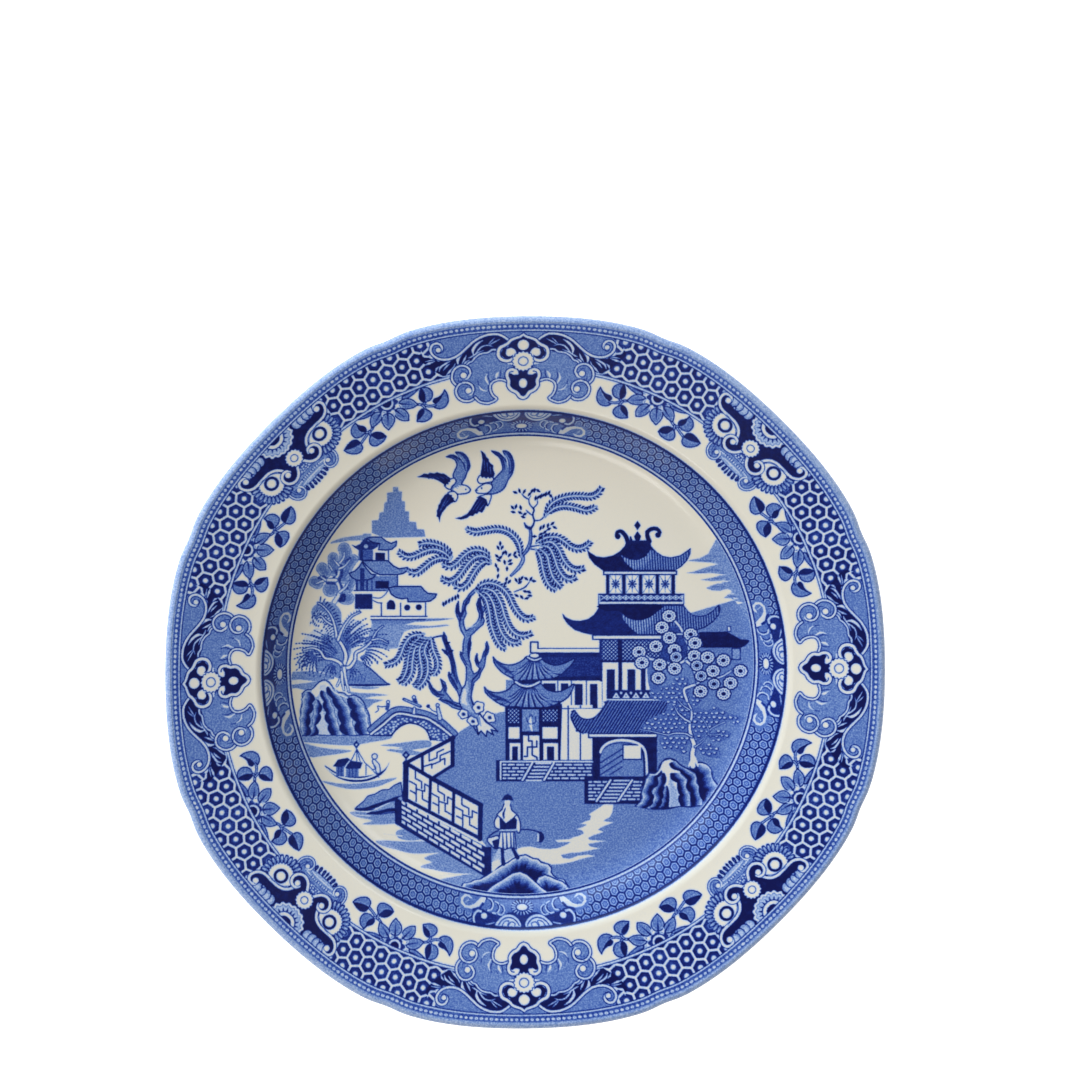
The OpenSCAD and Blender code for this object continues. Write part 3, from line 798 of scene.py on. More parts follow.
def scene_upper_left(g, rng):
    # far land and the stepped mountain
    g.fill(((331, 541.5), (341, 538), (352, 536.2), (362, 535.2), (364, 533.4), (371.5, 533.8), (371, 537), (366, 537.5), (366, 540.4), (350, 540.6), (340, 542.2), (330, 543.6)), 0.4)
    g.fill(((393, 487), (398, 486.8), (398.6, 491), (402, 491.5), (401.6, 501), (405, 501.5), (405, 511), (409, 511.5), (409, 521.6), (416, 522), (417, 529), (424, 529.5),
            (425.6, 536.8), (385, 537.8), (378, 535.4), (372, 533), (372, 520.5), (378.5, 520), (379.5, 512.6), (383.5, 512), (384.5, 502.6), (387, 502), (387, 492.6), (393, 492)), 0.48)
    # first bird
    g.leaf(((446.4, 456.6), (450, 454.8), (455, 455.4), (460, 459.4), (458.6, 455.6), (455.4, 452), (461, 452.2), (466, 455.5), (469, 461), (469.8, 467), (467, 472.5), (465.5, 477), (462.6, 482),
            (461.8, 484.5), (465, 485.2), (468.5, 487), (470.6, 490), (468, 492.8), (464, 493.8), (458, 494), (454, 492.5), (451, 490), (452, 487), (455.5, 481), (453, 476), (455, 470), (457, 465), (455, 460), (451, 457.6)),
           0.5, edge=1.2, smooth_n=3)
    g.fill(((453, 489), (456.4, 487), (459, 484.6), (462, 485.4), (466, 486), (469.4, 489.4), (467.6, 492.2), (463, 493.2), (457.6, 493.2)), 0.06, 3)
    for x, y in ((456, 487.4), (457.6, 485.8), (459.6, 485)):
        g.line(((x - 0.6, y - 0.8), (x + 1.6, y + 1.4)), (1.4, 0.4), 0.5)
    g.line(((447, 456.4), (451, 455.6), (455.6, 457.4), (458.6, 461.6)), (0.6, 2.4, 2, 0.6), 0.9)
    g.line(((456.4, 452.2), (461, 453.2), (465.6, 457.4), (468.2, 463), (467.4, 470)), (0.6, 2.6, 3.2, 3, 1.2), 0.84)
    g.line(((458.4, 455.6), (461, 459.4), (464, 465), (465.4, 470.6)), (0.4, 1.2, 1.4, 0.6), 0.93)
    g.line(((457.4, 454), (460.4, 457.6), (463.4, 462)), (0.3, 0.9, 0.3), 0.1)
    g.dot((465.8, 489.4), 0.75, 0.92)
    g.leaf(((450, 479.4), (454, 478), (456, 480.6), (455, 483.6), (452, 486.4), (450.6, 489.4), (447, 488.4), (444.4, 484.6)), 0.05, edge=1.1, smooth_n=3)
    g.fill(((416.6, 476.8), (421, 475.4), (424, 473.4), (428, 474), (430, 472.6), (434, 473.4), (437, 472.2), (441, 473.6), (444, 473.6), (447.4, 476), (450.6, 478.2), (449.6, 479.8), (450.6, 481.6),
            (448.4, 482.2), (448.6, 484.4), (446.4, 484), (445.8, 486.4), (443.6, 484), (439, 481), (434, 479), (428, 478), (422, 477.4)), 0.97)
    for x in (424, 429, 434, 439, 443):
        g.line(((x, 476), (x + 5, 478.6)), (0.2, 0.9), 0.72)
    g.leaf(((448, 492.6), (452, 491.4), (455.6, 492.2), (457.8, 496), (456.6, 500.2), (454.4, 501.8), (450, 499)), 0.05, edge=1.1, smooth_n=3)
    g.fill(((448, 493), (444.6, 495), (443, 497.6), (441, 500), (440.4, 503), (438.4, 505), (438, 508.4), (436.8, 510.6), (437, 514), (436.4, 516.4), (438.4, 517.4), (439.6, 522.8), (440.4, 517),
            (442, 513), (444.4, 510), (447, 506.4), (451, 503.4), (455, 501.2), (453.4, 499.4), (454.2, 498), (451.8, 497), (452, 495), (450, 494.8)), 0.96)
    for a, b in (((447, 497), (442, 506)), ((450, 498.4), (444, 506)), ((446, 500), (440, 511))):
        g.line((a, b), (0.3, 1.0), 0.66)
    # second bird
    g.leaf(((491.6, 450.8), (498, 452.4), (503.5, 457.4), (506.4, 462), (505.6, 457), (503.2, 450.8), (509, 452.4), (512.5, 458), (513.9, 466), (512, 474), (508, 480), (505, 487), (500, 491.6), (493, 494),
            (487.4, 493.4), (491, 490), (492, 486), (491.4, 482.6), (494, 479.4), (498, 475), (502.4, 470), (502, 464), (499.5, 457.6), (495, 454)), 0.5, edge=1.2, smooth_n=3)
    g.line(((492.6, 451.4), (498, 454), (502, 459), (504.4, 466), (503.8, 471)), (0.8, 2.6, 2.6, 1.6, 0.5), 0.84)
    g.line(((504.4, 451.4), (509, 455), (512, 462), (511.8, 470), (508.6, 475)), (0.8, 2.8, 3.2, 2.6, 0.6), 0.82)
    g.line(((504.6, 454.6), (507, 460.6), (507.8, 467)), (0.4, 1.2, 0.4), 0.06)
    g.line(((507.4, 458), (509.6, 466), (509, 473)), (0.4, 1.0, 0.4), 0.95)
    g.leaf(((479.6, 475.4), (477.4, 480), (480, 483.6), (485, 483), (492, 481.6), (493.4, 478), (488, 476.4)), 0.05, edge=1.1, smooth_n=3)
    g.fill(((480.4, 450), (483, 451.8), (485.4, 454.4), (486.4, 457), (488.6, 459), (489, 461.4), (490.8, 463.6), (493.4, 465.4), (493, 468.6), (494.8, 473.6), (493.8, 477.2), (491.6, 476.6),
            (490, 478.6), (488, 477), (486, 478.8), (484, 476.8), (482, 478), (480.4, 475), (481.6, 467), (482.6, 460), (481.6, 454)), 0.96)
    for a, b in (((484, 460), (485, 471)), ((487, 463), (488, 472)), ((490, 467), (491, 474))):
        g.line((a, b), (1.1, 0.4), 0.66)
    g.leaf(((475.4, 490.4), (479, 487), (485, 483.6), (490.6, 484), (492.4, 487), (491, 490), (487, 493.2), (481, 493.4), (477, 493)), 0.05, edge=1.1, smooth_n=3)
    g.dot((481.6, 488.2), 0.9, 0.95)
    g.line(((475.8, 490.6), (478, 490.2)), (1.6, 0.6), 0.92)
    g.leaf(((477.4, 497.4), (484, 494.8), (491, 494.6), (490.4, 500), (487.6, 506), (486, 502), (484, 498.4)), 0.05, edge=1.1, smooth_n=3)
    g.fill(((480.6, 496.4), (483.4, 497.6), (486.6, 499.6), (487.8, 504.6), (485.4, 506.4), (484.6, 509), (482, 512.8), (479, 511.4), (477.4, 514), (475, 513.6), (473, 516), (470, 515.6), (467, 518.2), (461, 519.6),
            (454.6, 518.2), (461, 517), (467, 514), (471, 509), (474, 504), (477, 499)), 0.97)
    for a, b in (((482, 501), (476, 510)), ((480, 499.4), (473, 509.6)), ((485, 503), (480, 509.6))):
        g.line((a, b), (0.3, 1.0), 0.68)
    # pavilion on the far shore
    lobes = ((((344, 548.6), (345.6, 553), (345, 560)), 5.9), (((332.8, 557.4), (333, 564), (333.8, 571)), 4.9), (((353.8, 559), (349.4, 565), (346, 572), (343, 579)), 4.3),
             (((321.6, 568), (325.4, 572.4)), 5.6), (((313.8, 581.4), (317.6, 583.4)), 5.3), (((330, 589.6), (332, 589)), 6.9), (((351, 580.6), (348.6, 588)), 4.4), (((348, 598.4), (344, 598)), 6))
    for pts, r in lobes:
        g.line(pts, 2 * r + 1.0, 0.5)
        g.line(pts, 2 * r - 0.8, 0.33)
        g.line(pts, 2 * r - 3.0, 0.47)
        g.line(pts, r * 0.9, 0.54)
    shade = 0.78
    for pts, w in ((((336, 571), (337.6, 577), (334, 578)), 3.4), (((341.4, 566), (341.6, 574), (339, 581), (341.4, 587)), 3.4), (((345.4, 562), (350, 558)), 2.6), (((324, 576.6), (318.6, 578)), 3), (((338, 596), (343, 590), (347, 588)), 3),
                   (((327, 583), (335, 583.6)), 2.6), (((321, 579), (326, 578)), 2.4)):
        g.line(pts, w, shade)
    g.fill(((337.6, 601.6), (341, 594.4), (345.4, 594), (345, 601.4)), 0.86, 3)
    for pts, w in ((((334.4, 602), (339, 594), (339, 587), (336, 579.6), (338.4, 574.6), (339.2, 567), (338.8, 564.4), (343.4, 558.4), (344.4, 552)), (4, 3, 2.4, 2.6, 2, 2, 2, 1.6, 0.9)),
                   (((336, 580.2), (325.4, 580.2), (316, 583.6)), (3, 2.4, 0.9)), (((325.4, 580), (320.6, 576.4)), (2, 0.8)), (((338.8, 565.4), (333.6, 559.6)), (1.8, 0.8)),
                   (((339, 569), (345, 565.8), (349.6, 560)), (1.8, 1.4, 0.8)), (((340, 592), (345.8, 587), (349, 581.4)), (2, 1.6, 0.8)), (((332, 570), (328.6, 564)), (1.6, 0.8))):
        g.line(pts, [q + 1.5 for q in w], 0.72)
        g.line(pts, w, 0.1)
    g.fill(((351.2, 544.4), (354.5, 547.6), (358.5, 550), (372, 550), (377.4, 547), (380, 542.6), (374, 542), (368, 541), (366, 537.6), (363, 540), (360, 544), (355.5, 546)), 0.86)
    g.dot((366, 546.4), 2.1, 0.3)
    g.leaf(((366, 538.4), (372, 537), (381, 537), (386, 541), (391, 543.4), (396.6, 541.2), (396, 545.6), (392, 549.2), (386, 550.2), (378.5, 549.6), (380, 543.6), (373, 542.4)), 0.5, edge=1.2, smooth_n=0)
    g.fill(box(358.5, 550, 373, 560.5), 0.68)
    g.fill(box(360, 550, 363, 560.5), 0.9)
    g.fill(box(373, 550.8, 387, 560.5), 0.06)
    g.fill(box(375.4, 552.8, 385, 560), 0.97)
    g.line(((388.4, 550), (388.6, 560)), 1.2, 0.9)
    g.leaf(((362, 560.6), (388, 560.6), (393, 565.6), (399, 568.8), (407.6, 567.4), (408, 570.2), (403, 573.6), (396, 574.8), (380, 574.8), (373, 571.6), (367, 566)), 0.48, edge=1.3, smooth_n=0)
    g.fill(box(357, 576, 397.6, 590.4), 0.52)
    g.leaf(((349.2, 573.4), (355, 571), (359, 567), (362, 562), (366, 568), (371, 574), (376, 574.8), (373, 577.8), (368, 579.8), (357, 580.2), (352, 577.6)), 0.5, edge=1.3, smooth_n=0)
    g.fill(box(360, 568, 364.4, 590), 0.84)
    g.fill(box(355.6, 580, 358, 590.4), 0.85)
    g.fill(box(366, 580, 368, 590.4), 0.85)
    g.fill(box(375.4, 581, 388.8, 588.6), 0.97)
    g.line(((372, 578), (372, 590)), 1.0, 0.88)
    g.line(((397.4, 575), (397.6, 590)), 1.2, 0.9)
    g.line(((354, 590.6), (386, 590.6)), 1.1, 0.92)
    g.fill(box(355, 594, 372.4, 609), 0.93)
    g.line(((373, 597.6), (380, 598), (385, 594.6), (388, 590)), 0.9, 0.92)
    g.line(((373, 600.4), (378, 602.8), (382, 602.8)), 0.9, 0.92)
    g.leaf(((388.6, 588), (395, 586.4), (421, 586.4), (424, 590), (428, 593.4), (436.6, 594), (435, 597.6), (430, 601.2), (424, 601.8), (408, 601.8), (407.6, 598), (402, 599), (396, 597.4), (391, 594)), 0.52, edge=1.3, smooth_n=0)
    for x in (381.4, 400.6, 425.6):
        g.line(((x, 603), (x, 616.5)), 1.1, 0.92)
    g.fill(((387, 609.4), (387, 603), (389, 600.4), (391, 599.8), (393.6, 601), (395.2, 604), (395.2, 609.4)), 0.95)
    for c in ((407.2, 607.6), (418.8, 607.2)):
        g.dot(c, 3.0, 0.96)
    g.line(((371, 616.4), (427, 616.4)), 1.1, 0.93)
    g.line(((371, 618), (426, 618)), 1.6, 0.03)
    g.fill(((371, 619.2), (400, 619.4), (430, 618.4), (455, 618.4), (440, 620.6), (415, 622), (404, 624.6), (372, 624.6)), 0.5)
    g.line(((371, 619.6), (425, 619.6)), 1.2, 0.92)


def scene_pagoda(g, rng):
    hatch = stripes(0.42, 0.93, 0.95, 4)
    pale = stripes(0.26, 0.86, 0.95, 4)
    # finial
    g.fill(((637.5, 520.8), (640.8, 525.4), (637.5, 530.2), (634.2, 525.4)), 1.0)
    g.fill(((637.5, 531), (641.2, 536.4), (639.4, 541), (635.6, 541), (634, 536.4)), 1.0)
    g.line(((627.6, 541.4), (625.6, 536), (621.4, 531.6), (617.4, 532), (616.2, 535.4)), (4.6, 4.4, 4, 3.4, 2.8), 1.0)
    g.dot((617.8, 536.4), 2.8, 1.0)
    g.line(((631.2, 541), (630.6, 537)), (3, 1.6), 1.0)
    g.line(((649.4, 541.4), (647.4, 536), (647.4, 531.4)), (4.6, 4.4, 3.8), 1.0)
    g.line(((647, 532), (651.4, 529), (656.8, 529), (660.2, 532.4)), (3.8, 4.2, 4.0, 3.2), 1.0)
    g.dot((658.0, 535), 2.8, 1.0)
    # top roof
    top = ((587, 549.4), (590.4, 552.8), (596.4, 556.4), (604, 557.4), (613, 555.4), (620, 551.2), (624.6, 546), (626.6, 540.4), (649.4, 540.4), (651.4, 546.4), (656.4, 551.8),
           (663, 556), (671, 557.4), (680, 555.4), (686, 551.4), (690.8, 547.8), (690.4, 554), (687, 561), (681, 567), (675, 570.6), (603, 570.6), (594.6, 564.6), (589, 557.4))
    g.fill(top, 0.97)
    g.fill(((651, 549.4), (656.4, 552.6), (663, 556.8), (671, 558.2), (680, 556.4), (686, 552.6), (689.8, 549.6), (689.4, 554), (686, 560.6), (680.4, 566.2), (675, 569.8), (634, 569.8),
            (626, 563.4), (621, 555), (624, 557), (630, 559.6), (637.4, 560.2), (645, 557)), hatch)
    g.fill(((651, 549.4), (645, 557), (637.4, 560.2), (630, 559.6), (624, 557), (621, 555), (626, 563.4), (634, 569.8), (644, 566), (651, 559)), pale)
    g.fill(box(603, 570.4, 677.2, 575.2), 0.92)
    g.fill(box(604.4, 571.8, 675.8, 573.9), 0.03)
    # railing
    for x0, x1 in ((606, 609.2), (622.2, 625.6), (639, 642.2), (655.8, 659), (671.4, 675)):
        g.fill(box(x0, 575, x1, 594), 0.97)
    for x0, x1 in ((609.2, 622.2), (625.6, 639), (642.2, 655.8), (659, 671.4)):
        cx, cy = (x0 + x1) / 2, 584
        for dx, dy in ((6, 8.6), (6, -8.6), (0, 8.6)):
            g.line(((cx - dx, cy - dy), (cx + dx, cy + dy)), 0.55, 0.75)
        for t in range(0, 360, 45):
            a = math.radians(t)
            g.line(((cx + 0.8 * math.cos(a), cy + 0.8 * math.sin(a)), (cx + 3.6 * math.cos(a), cy + 3.6 * math.sin(a))), (0.8, 1.7), 0.9, 0)
        g.line(((x0 + 0.4, 575.6), (x0 + 0.4, 593.6), (x1 - 0.4, 593.6), (x1 - 0.4, 575.6)), 0.4, 0.6, 0)
    g.fill(box(598.2, 593.6, 684.2, 605), 0.93)
    g.fill(box(601, 595.2, 681.6, 599.8), 0.82)
    for i in range(13):
        cx = 604 + i * 6.25
        g.line(((cx - 3.1, 595.4), (cx, 597.6), (cx - 3.1, 599.8)), 0.8, 0.12, 0)
        g.line(((cx + 3.1, 595.4), (cx, 597.6), (cx + 3.1, 599.8)), 0.8, 0.12, 0)
        g.dot((cx + 3.1, 597.6), 1.15, 0.15)
    g.fill(box(600.4, 601.8, 682.6, 603.9), 0.03)
    g.fill(box(599, 595, 600.2, 603.9), 0.1)
    g.fill(box(682.4, 595, 683.4, 603.9), 0.1)
    # second roof
    mid = ((562.2, 613.2), (566, 617.4), (573, 620.4), (580, 620.8), (588, 619), (594, 614.6), (598.4, 608), (599.6, 604.4), (683.4, 604.4), (688, 611), (693, 614.8), (699, 616), (706, 615),
           (713, 610.4), (719, 604), (720.8, 609), (719, 615.4), (713, 622.2), (705, 627.8), (695, 630.8), (686, 634.8), (592, 634.8), (584, 633.2), (575, 630.2), (568, 624.6), (563.4, 618))
    g.fill(mid, 0.93)
    g.fill(((660, 606), (683, 606), (688, 612), (693, 615.8), (699, 617), (706, 616), (713, 611.6), (718.4, 606), (719.6, 609.4), (718, 615), (712.4, 621.4), (704.6, 626.8), (695, 630), (686, 634),
            (638, 634), (630, 627.4), (624, 620.4), (621, 612.8), (626, 617.2), (633, 620.2), (641, 620.4), (649, 618), (655.4, 613.6)), hatch)
    g.fill(((655.4, 613.6), (649, 618), (641, 620.4), (633, 620.2), (626, 617.2), (621, 612.8), (624, 620.4), (630, 627.4), (638, 634), (646, 630), (652, 622)), pale)
    g.fill(((599.6, 604.6), (660, 604.6), (655, 613.4), (649, 617.6), (641, 620), (633, 619.8), (626, 616.8), (619, 611), (606, 611)), 1.0, 3)
    # left wing: long low roof with its ridge
    g.fill(box(534, 652.4, 601, 680.6), 0.93)
    g.fill(box(540, 657, 600, 678), 0.86)
    g.line(((537, 648.4), (599, 648.4)), 0.9, 0.9)
    g.fill(box(534, 649.4, 599, 652), 0.03)
    # main storey under the second roof
    g.fill(box(592, 634.6, 661.4, 640), 0.93)
    g.fill(box(593.4, 635.8, 661, 638.8), 0.03)
    g.fill(box(599.4, 640, 661, 700), 0.9)
    g.fill(box(602, 640.6, 617.6, 660), lattice(0.1, 0.95, 1.0, 0.44))
    g.fill(box(622, 640.6, 660, 660), lattice(0.1, 0.95, 1.0, 0.44))
    g.fill(box(617.6, 640, 622, 662), 0.97)
    g.fill(box(600, 660, 661, 662.2), 0.97)
    for x0, x1, w0, w1 in ((602.4, 618.4, 606.8, 614.8), (622, 639, 627.6, 635.2), (637, 650.5, 641, 645.6)):
        g.fill(box(x0, 662.4, x1, 690), 0.04)
        g.fill(box(w0, 669.4, w1, 690), 0.94)
    g.fill(box(618.4, 662, 622, 690), 0.95)
    g.fill(box(602.6, 669.4, 606.6, 710), 0.05)
    g.fill(box(606.8, 690, 612, 712), 0.93)
    g.fill(box(611, 690.2, 661, 699.4), 0.9)
    for i in range(5):
        x = 611.6 + i * 9.9
        g.leaf(((x, 698.4), (x + 4.6, 691.4), (x + 9.2, 698.4)), 0.05, edge=0.8, smooth_n=0)
        g.dot((x + 4.6, 696), 0.9, 0.7)
        g.dot((x + 9.5, 693), 1.3, 0.08)
    # windows of the left wing
    g.fill(box(534, 680.6, 602, 710), 0.05)
    for x0, x1, y0 in ((545, 551.4, 683.4), (560.6, 567.8, 683), (574.4, 582.4, 684), (589, 596.6, 684)):
        g.fill(box(x0, y0, x1, 709), 0.92)
    for x in (557.4, 571.6, 586.6):
        g.line(((x, 681.6), (x, 709)), 0.8, 0.7)
    g.line(((534, 681), (602, 681)), 1.0, 0.93)
    # small house on the right
    g.fill(box(700, 648, 742, 662), 0.5)
    g.fill(((699, 632), (727, 631.6), (735, 636), (741, 639.2), (747, 639.4), (750, 640.6), (747, 644.8), (741, 647.8), (699, 647.8)), 0.96)
    g.leaf(box(727.4, 626.4, 730.6, 631.4), 0.08, edge=0.8, smooth_n=0)
    g.leaf(box(732, 648.4, 740.4, 659.6), 0.4, edge=1.0, smooth_n=0)


def strands(g, path, sides, length, rng, step=2.35, sag=0.3, lean=0.35):
    """Foliage that fans out from a branch: shade close to it, dotted strands at its edge."""
    p = curve(np.asarray(path, float), 10)
    L = np.concatenate([[0], np.cumsum(np.hypot(*np.diff(p, axis=0).T))])
    runs = []
    for sgn in sides:
        for t in np.arange(0.5, L[-1], step):
            c = np.array([np.interp(t, L, p[:, 0]), np.interp(t, L, p[:, 1])])
            e = np.array([np.interp(t + 1, L, p[:, 0]), np.interp(t + 1, L, p[:, 1])]) - np.array([np.interp(t - 1, L, p[:, 0]), np.interp(t - 1, L, p[:, 1])])
            e = e / max(1e-6, np.hypot(*e))
            n = np.array([-e[1], e[0]]) * sgn + e * lean
            ln = length * rng.uniform(0.8, 1.12) * (0.7 + 0.3 * t / L[-1])
            runs.append((np.array([c + n * ln * f + np.array([0, sag * ln * f * f]) for f in np.linspace(0, 1, 11)]), ln))
    for q, ln in runs:
        g.line([tuple(v) for v in q], (2.0, 2.0, 1.8, 1.6, 1.3, 1.0, 0.8, 0.6, 0.4, 0.3, 0.3), 0.42, 0)
    for q, ln in runs:
        g.line([tuple(v) for v in q[:6]], (1.2, 0.9, 0.7, 0.6, 0.45, 0.3), 0.76, 0)
        if ln > 7:
            for f in np.arange(0.56, 1.02, 2.3 / ln):
                k = min(9, int(f * 10))
                a0 = q[k] + (q[k + 1] - q[k]) * (f * 10 - k)
                d = q[k + 1] - q[k]
                d /= max(1e-6, np.hypot(*d))
                g.line((tuple(a0 - d * 0.6), tuple(a0 + d * 0.6)), (1.35, 1.05), 0.96, 0)


def fan(g, c, angles, reach, rng, sag=0.1, start=0.3, solid=0.5, bend=0.0, pitch=2.7):
    """Strands that spread from one point: shaded at their feet, dotted towards their tips."""
    c, runs = np.asarray(c, float), []
    for k, a in enumerate(np.arange(*angles)):
        R = float(np.interp(a, *reach)) * rng.uniform(0.9, 1.04) * (1.0 if k % 2 else 0.84)
        f = np.linspace(start, 1, 12)
        th = np.radians(a + bend * ((f - start) / (1 - start) - 0.55))
        runs.append((np.stack([c[0] + R * f * np.cos(th), c[1] - R * f * np.sin(th) + sag * R * (f - start) ** 2], 1), R * (1 - start)))
    for q, ln in runs:
        g.line([tuple(v) for v in q[:8]], (1.9, 1.9, 1.8, 1.6, 1.3, 1.0, 0.7, 0.4), 0.4, 0)
    for q, ln in runs:
        g.line([tuple(v) for v in q[:6]], (1.0, 0.9, 0.8, 0.7, 0.5, 0.3), 0.76, 0)
        for t in np.arange(solid, 1.0, pitch / ln):
            k = min(10, int(t * 11))
            a0, d = q[k] + (q[k + 1] - q[k]) * (t * 11 - k), q[k + 1] - q[k]
            d = d / max(1e-6, np.hypot(*d))
            g.line((tuple(a0 - d * 0.5), tuple(a0 + d * 0.5)), (1.4, 1.1), 0.88, 0)


def scene_trees(g, rng):
    # water and shore about the feathery tree on the left
    g.fill(((292, 672), (312, 671), (330, 675), (334, 679), (320, 681), (312, 688), (304, 690), (296, 688), (289, 689)), 0.45)
    g.fill(((289, 680.5), (300, 679.4), (316, 681.6), (302, 683.6), (290, 685)), 0.06)
    g.fill(((372, 624), (404, 624.4), (430, 626), (446, 624.4), (450, 625.6), (436, 627.4), (410, 629.4), (404, 632), (400, 640), (398, 648), (388, 649), (376, 648), (366, 645)), 0.4)
    g.fill(((345, 691), (360, 693), (374, 693.4), (389, 695), (372, 696.6), (364, 698.4), (384, 700), (374, 703), (367, 709), (363, 703), (356, 697)), 0.45)
    g.line(((352, 687.4), (368, 688), (379, 687.6)), (1.2, 3.0, 0.8), 0.43)
    g.leaf(((345.6, 684.6), (345, 676), (349, 668), (357, 663), (364, 664), (372, 670), (379, 676.4), (386, 682.6), (387, 684.8)), 0.5, edge=1.1, smooth_n=3)
    g.line(((345, 685), (366, 685.2), (387, 684.8)), (1.6, 2.4, 1.6), 0.93)
    for x in range(349, 366, 3):
        g.line(((x, 682), (x + 1.5, 672 + abs(x - 356) * 0.5)), 0.7, 0.8)
    b1 = ((343, 668), (346, 656), (342, 645), (337, 638), (336, 632), (334, 623), (330, 614), (323, 606), (318, 603))
    b1b = ((332, 625), (326, 621), (321, 616), (316, 618))
    b2 = ((338, 640), (342, 630), (346, 623), (352, 616), (360, 612))
    b3 = ((343, 668), (340, 663), (333, 659.4), (325, 658), (320, 651), (312, 648), (303, 650))
    b3b = ((322, 655), (312, 640), (304, 633), (298, 630))
    b4 = ((344, 668), (350, 667), (355, 660), (356, 653), (363, 649), (370, 643), (374, 636), (378, 630), (383, 626))
    b4b = ((372, 640), (380, 639), (388, 643))
    g.fill(((303, 640), (311, 632), (318, 628), (328, 632), (334, 642), (342, 654), (342, 664), (334, 662), (322, 656), (310, 652)), 0.13, 3)
    g.fill(((342, 656), (343, 640), (346, 628), (352, 620), (362, 622), (366, 632), (362, 642), (354, 650), (348, 660)), 0.13, 3)
    g.fill(((311, 612), (314, 606), (321, 602), (330, 602), (336, 605), (341, 612), (341, 624), (338, 635), (334, 630), (331, 620), (325, 613), (318, 611), (313, 617)), 0.44, 3)
    g.fill(((324, 634), (331, 636), (336, 640), (343, 650), (344, 660), (338, 662), (328, 654), (322, 645)), 0.46, 3)
    g.fill(((340, 640), (346, 630), (351, 634), (352, 644), (350, 656), (345, 665), (343, 654)), 0.46, 3)
    g.fill(((316, 660), (326, 658), (336, 662), (343, 668), (341, 678), (332, 676), (323, 672), (316, 670)), 0.46, 3)
    g.fill(((347, 668), (356, 660), (364, 664), (362, 674), (352, 677)), 0.46, 3)
    fan(g, (340, 664), (114, 178, 3.3), ((116, 135, 150, 176), (46, 50, 51, 46)), rng, sag=0.12, start=0.34, bend=20)
    fan(g, (340, 664), (118, 174, 4.2), ((120, 172), (35, 36)), rng, sag=0.1, start=0.36, solid=0.35, bend=22)
    fan(g, (320, 652), (186, 260, 5.4), ((188, 216, 258), (28, 28, 23)), rng, sag=0.2, start=0.3, solid=0.3, bend=24)
    fan(g, (337, 663), (196, 262, 7), ((196, 224, 262), (21, 16, 13)), rng, sag=0.25, start=0.3, solid=0.4, bend=24)
    fan(g, (343, 657), (40, 88, 3.4), ((42, 57, 67, 86), (44, 46, 48, 44)), rng, sag=0.1, start=0.3, bend=-22)
    fan(g, (343, 657), (42, 86, 4.4), ((44, 84), (32, 32)), rng, sag=0.1, start=0.3, solid=0.4, bend=-24)
    fan(g, (356, 655), (-42, 48, 4.6), ((-40, -22, 4, 16, 29, 39, 47), (16, 20, 30, 35, 38, 40, 38)), rng, sag=0.16, start=0.42, solid=0.35, bend=-22)
    fan(g, (347, 665), (-66, -18, 8), ((-66, -18), (15, 16)), rng, sag=0.1, start=0.3, solid=0.5, bend=-15)
    for path, sides, ln, sag in ((b1[3:], (1,), 10, 0.3), (b1[3:], (-1,), 13, 0.9), (b1b, (1,), 9, 0.9), (b2[1:], (-1,), 6, 0.2), (b4b, (1,), 6, 0.6)):
        strands(g, path, sides, ln, rng, step=2.8, sag=sag)
    for path, w in ((b1, (3, 3, 2.6, 2.4, 2, 1.8, 1.4, 1.0, 0.8)), (b1b, (1.6, 1.4, 1, 0.6)), (b2, (2.4, 2, 1.6, 1.2, 0.8)), (b3, (3, 2.6, 2.4, 2, 1.8, 1.4, 1)), (b4, (3, 2.8, 2.4, 2.2, 2, 1.8, 1.4, 1, 0.8)), (b4b, (1.4, 1, 0.6))):
        g.line(path, np.array(w) + 2.0, 0.84)
        g.line(path, w, 0.08)
    for path in (((343, 667), (341.6, 676), (337, 686)), ((342, 672), (342.4, 682), (344, 690)), ((344, 668), (346, 680), (349, 692))):
        g.line(path, (4.4, 3.6, 2.6), 0.8)
        g.line(path, (2.8, 2.0, 1.2), 0.06)

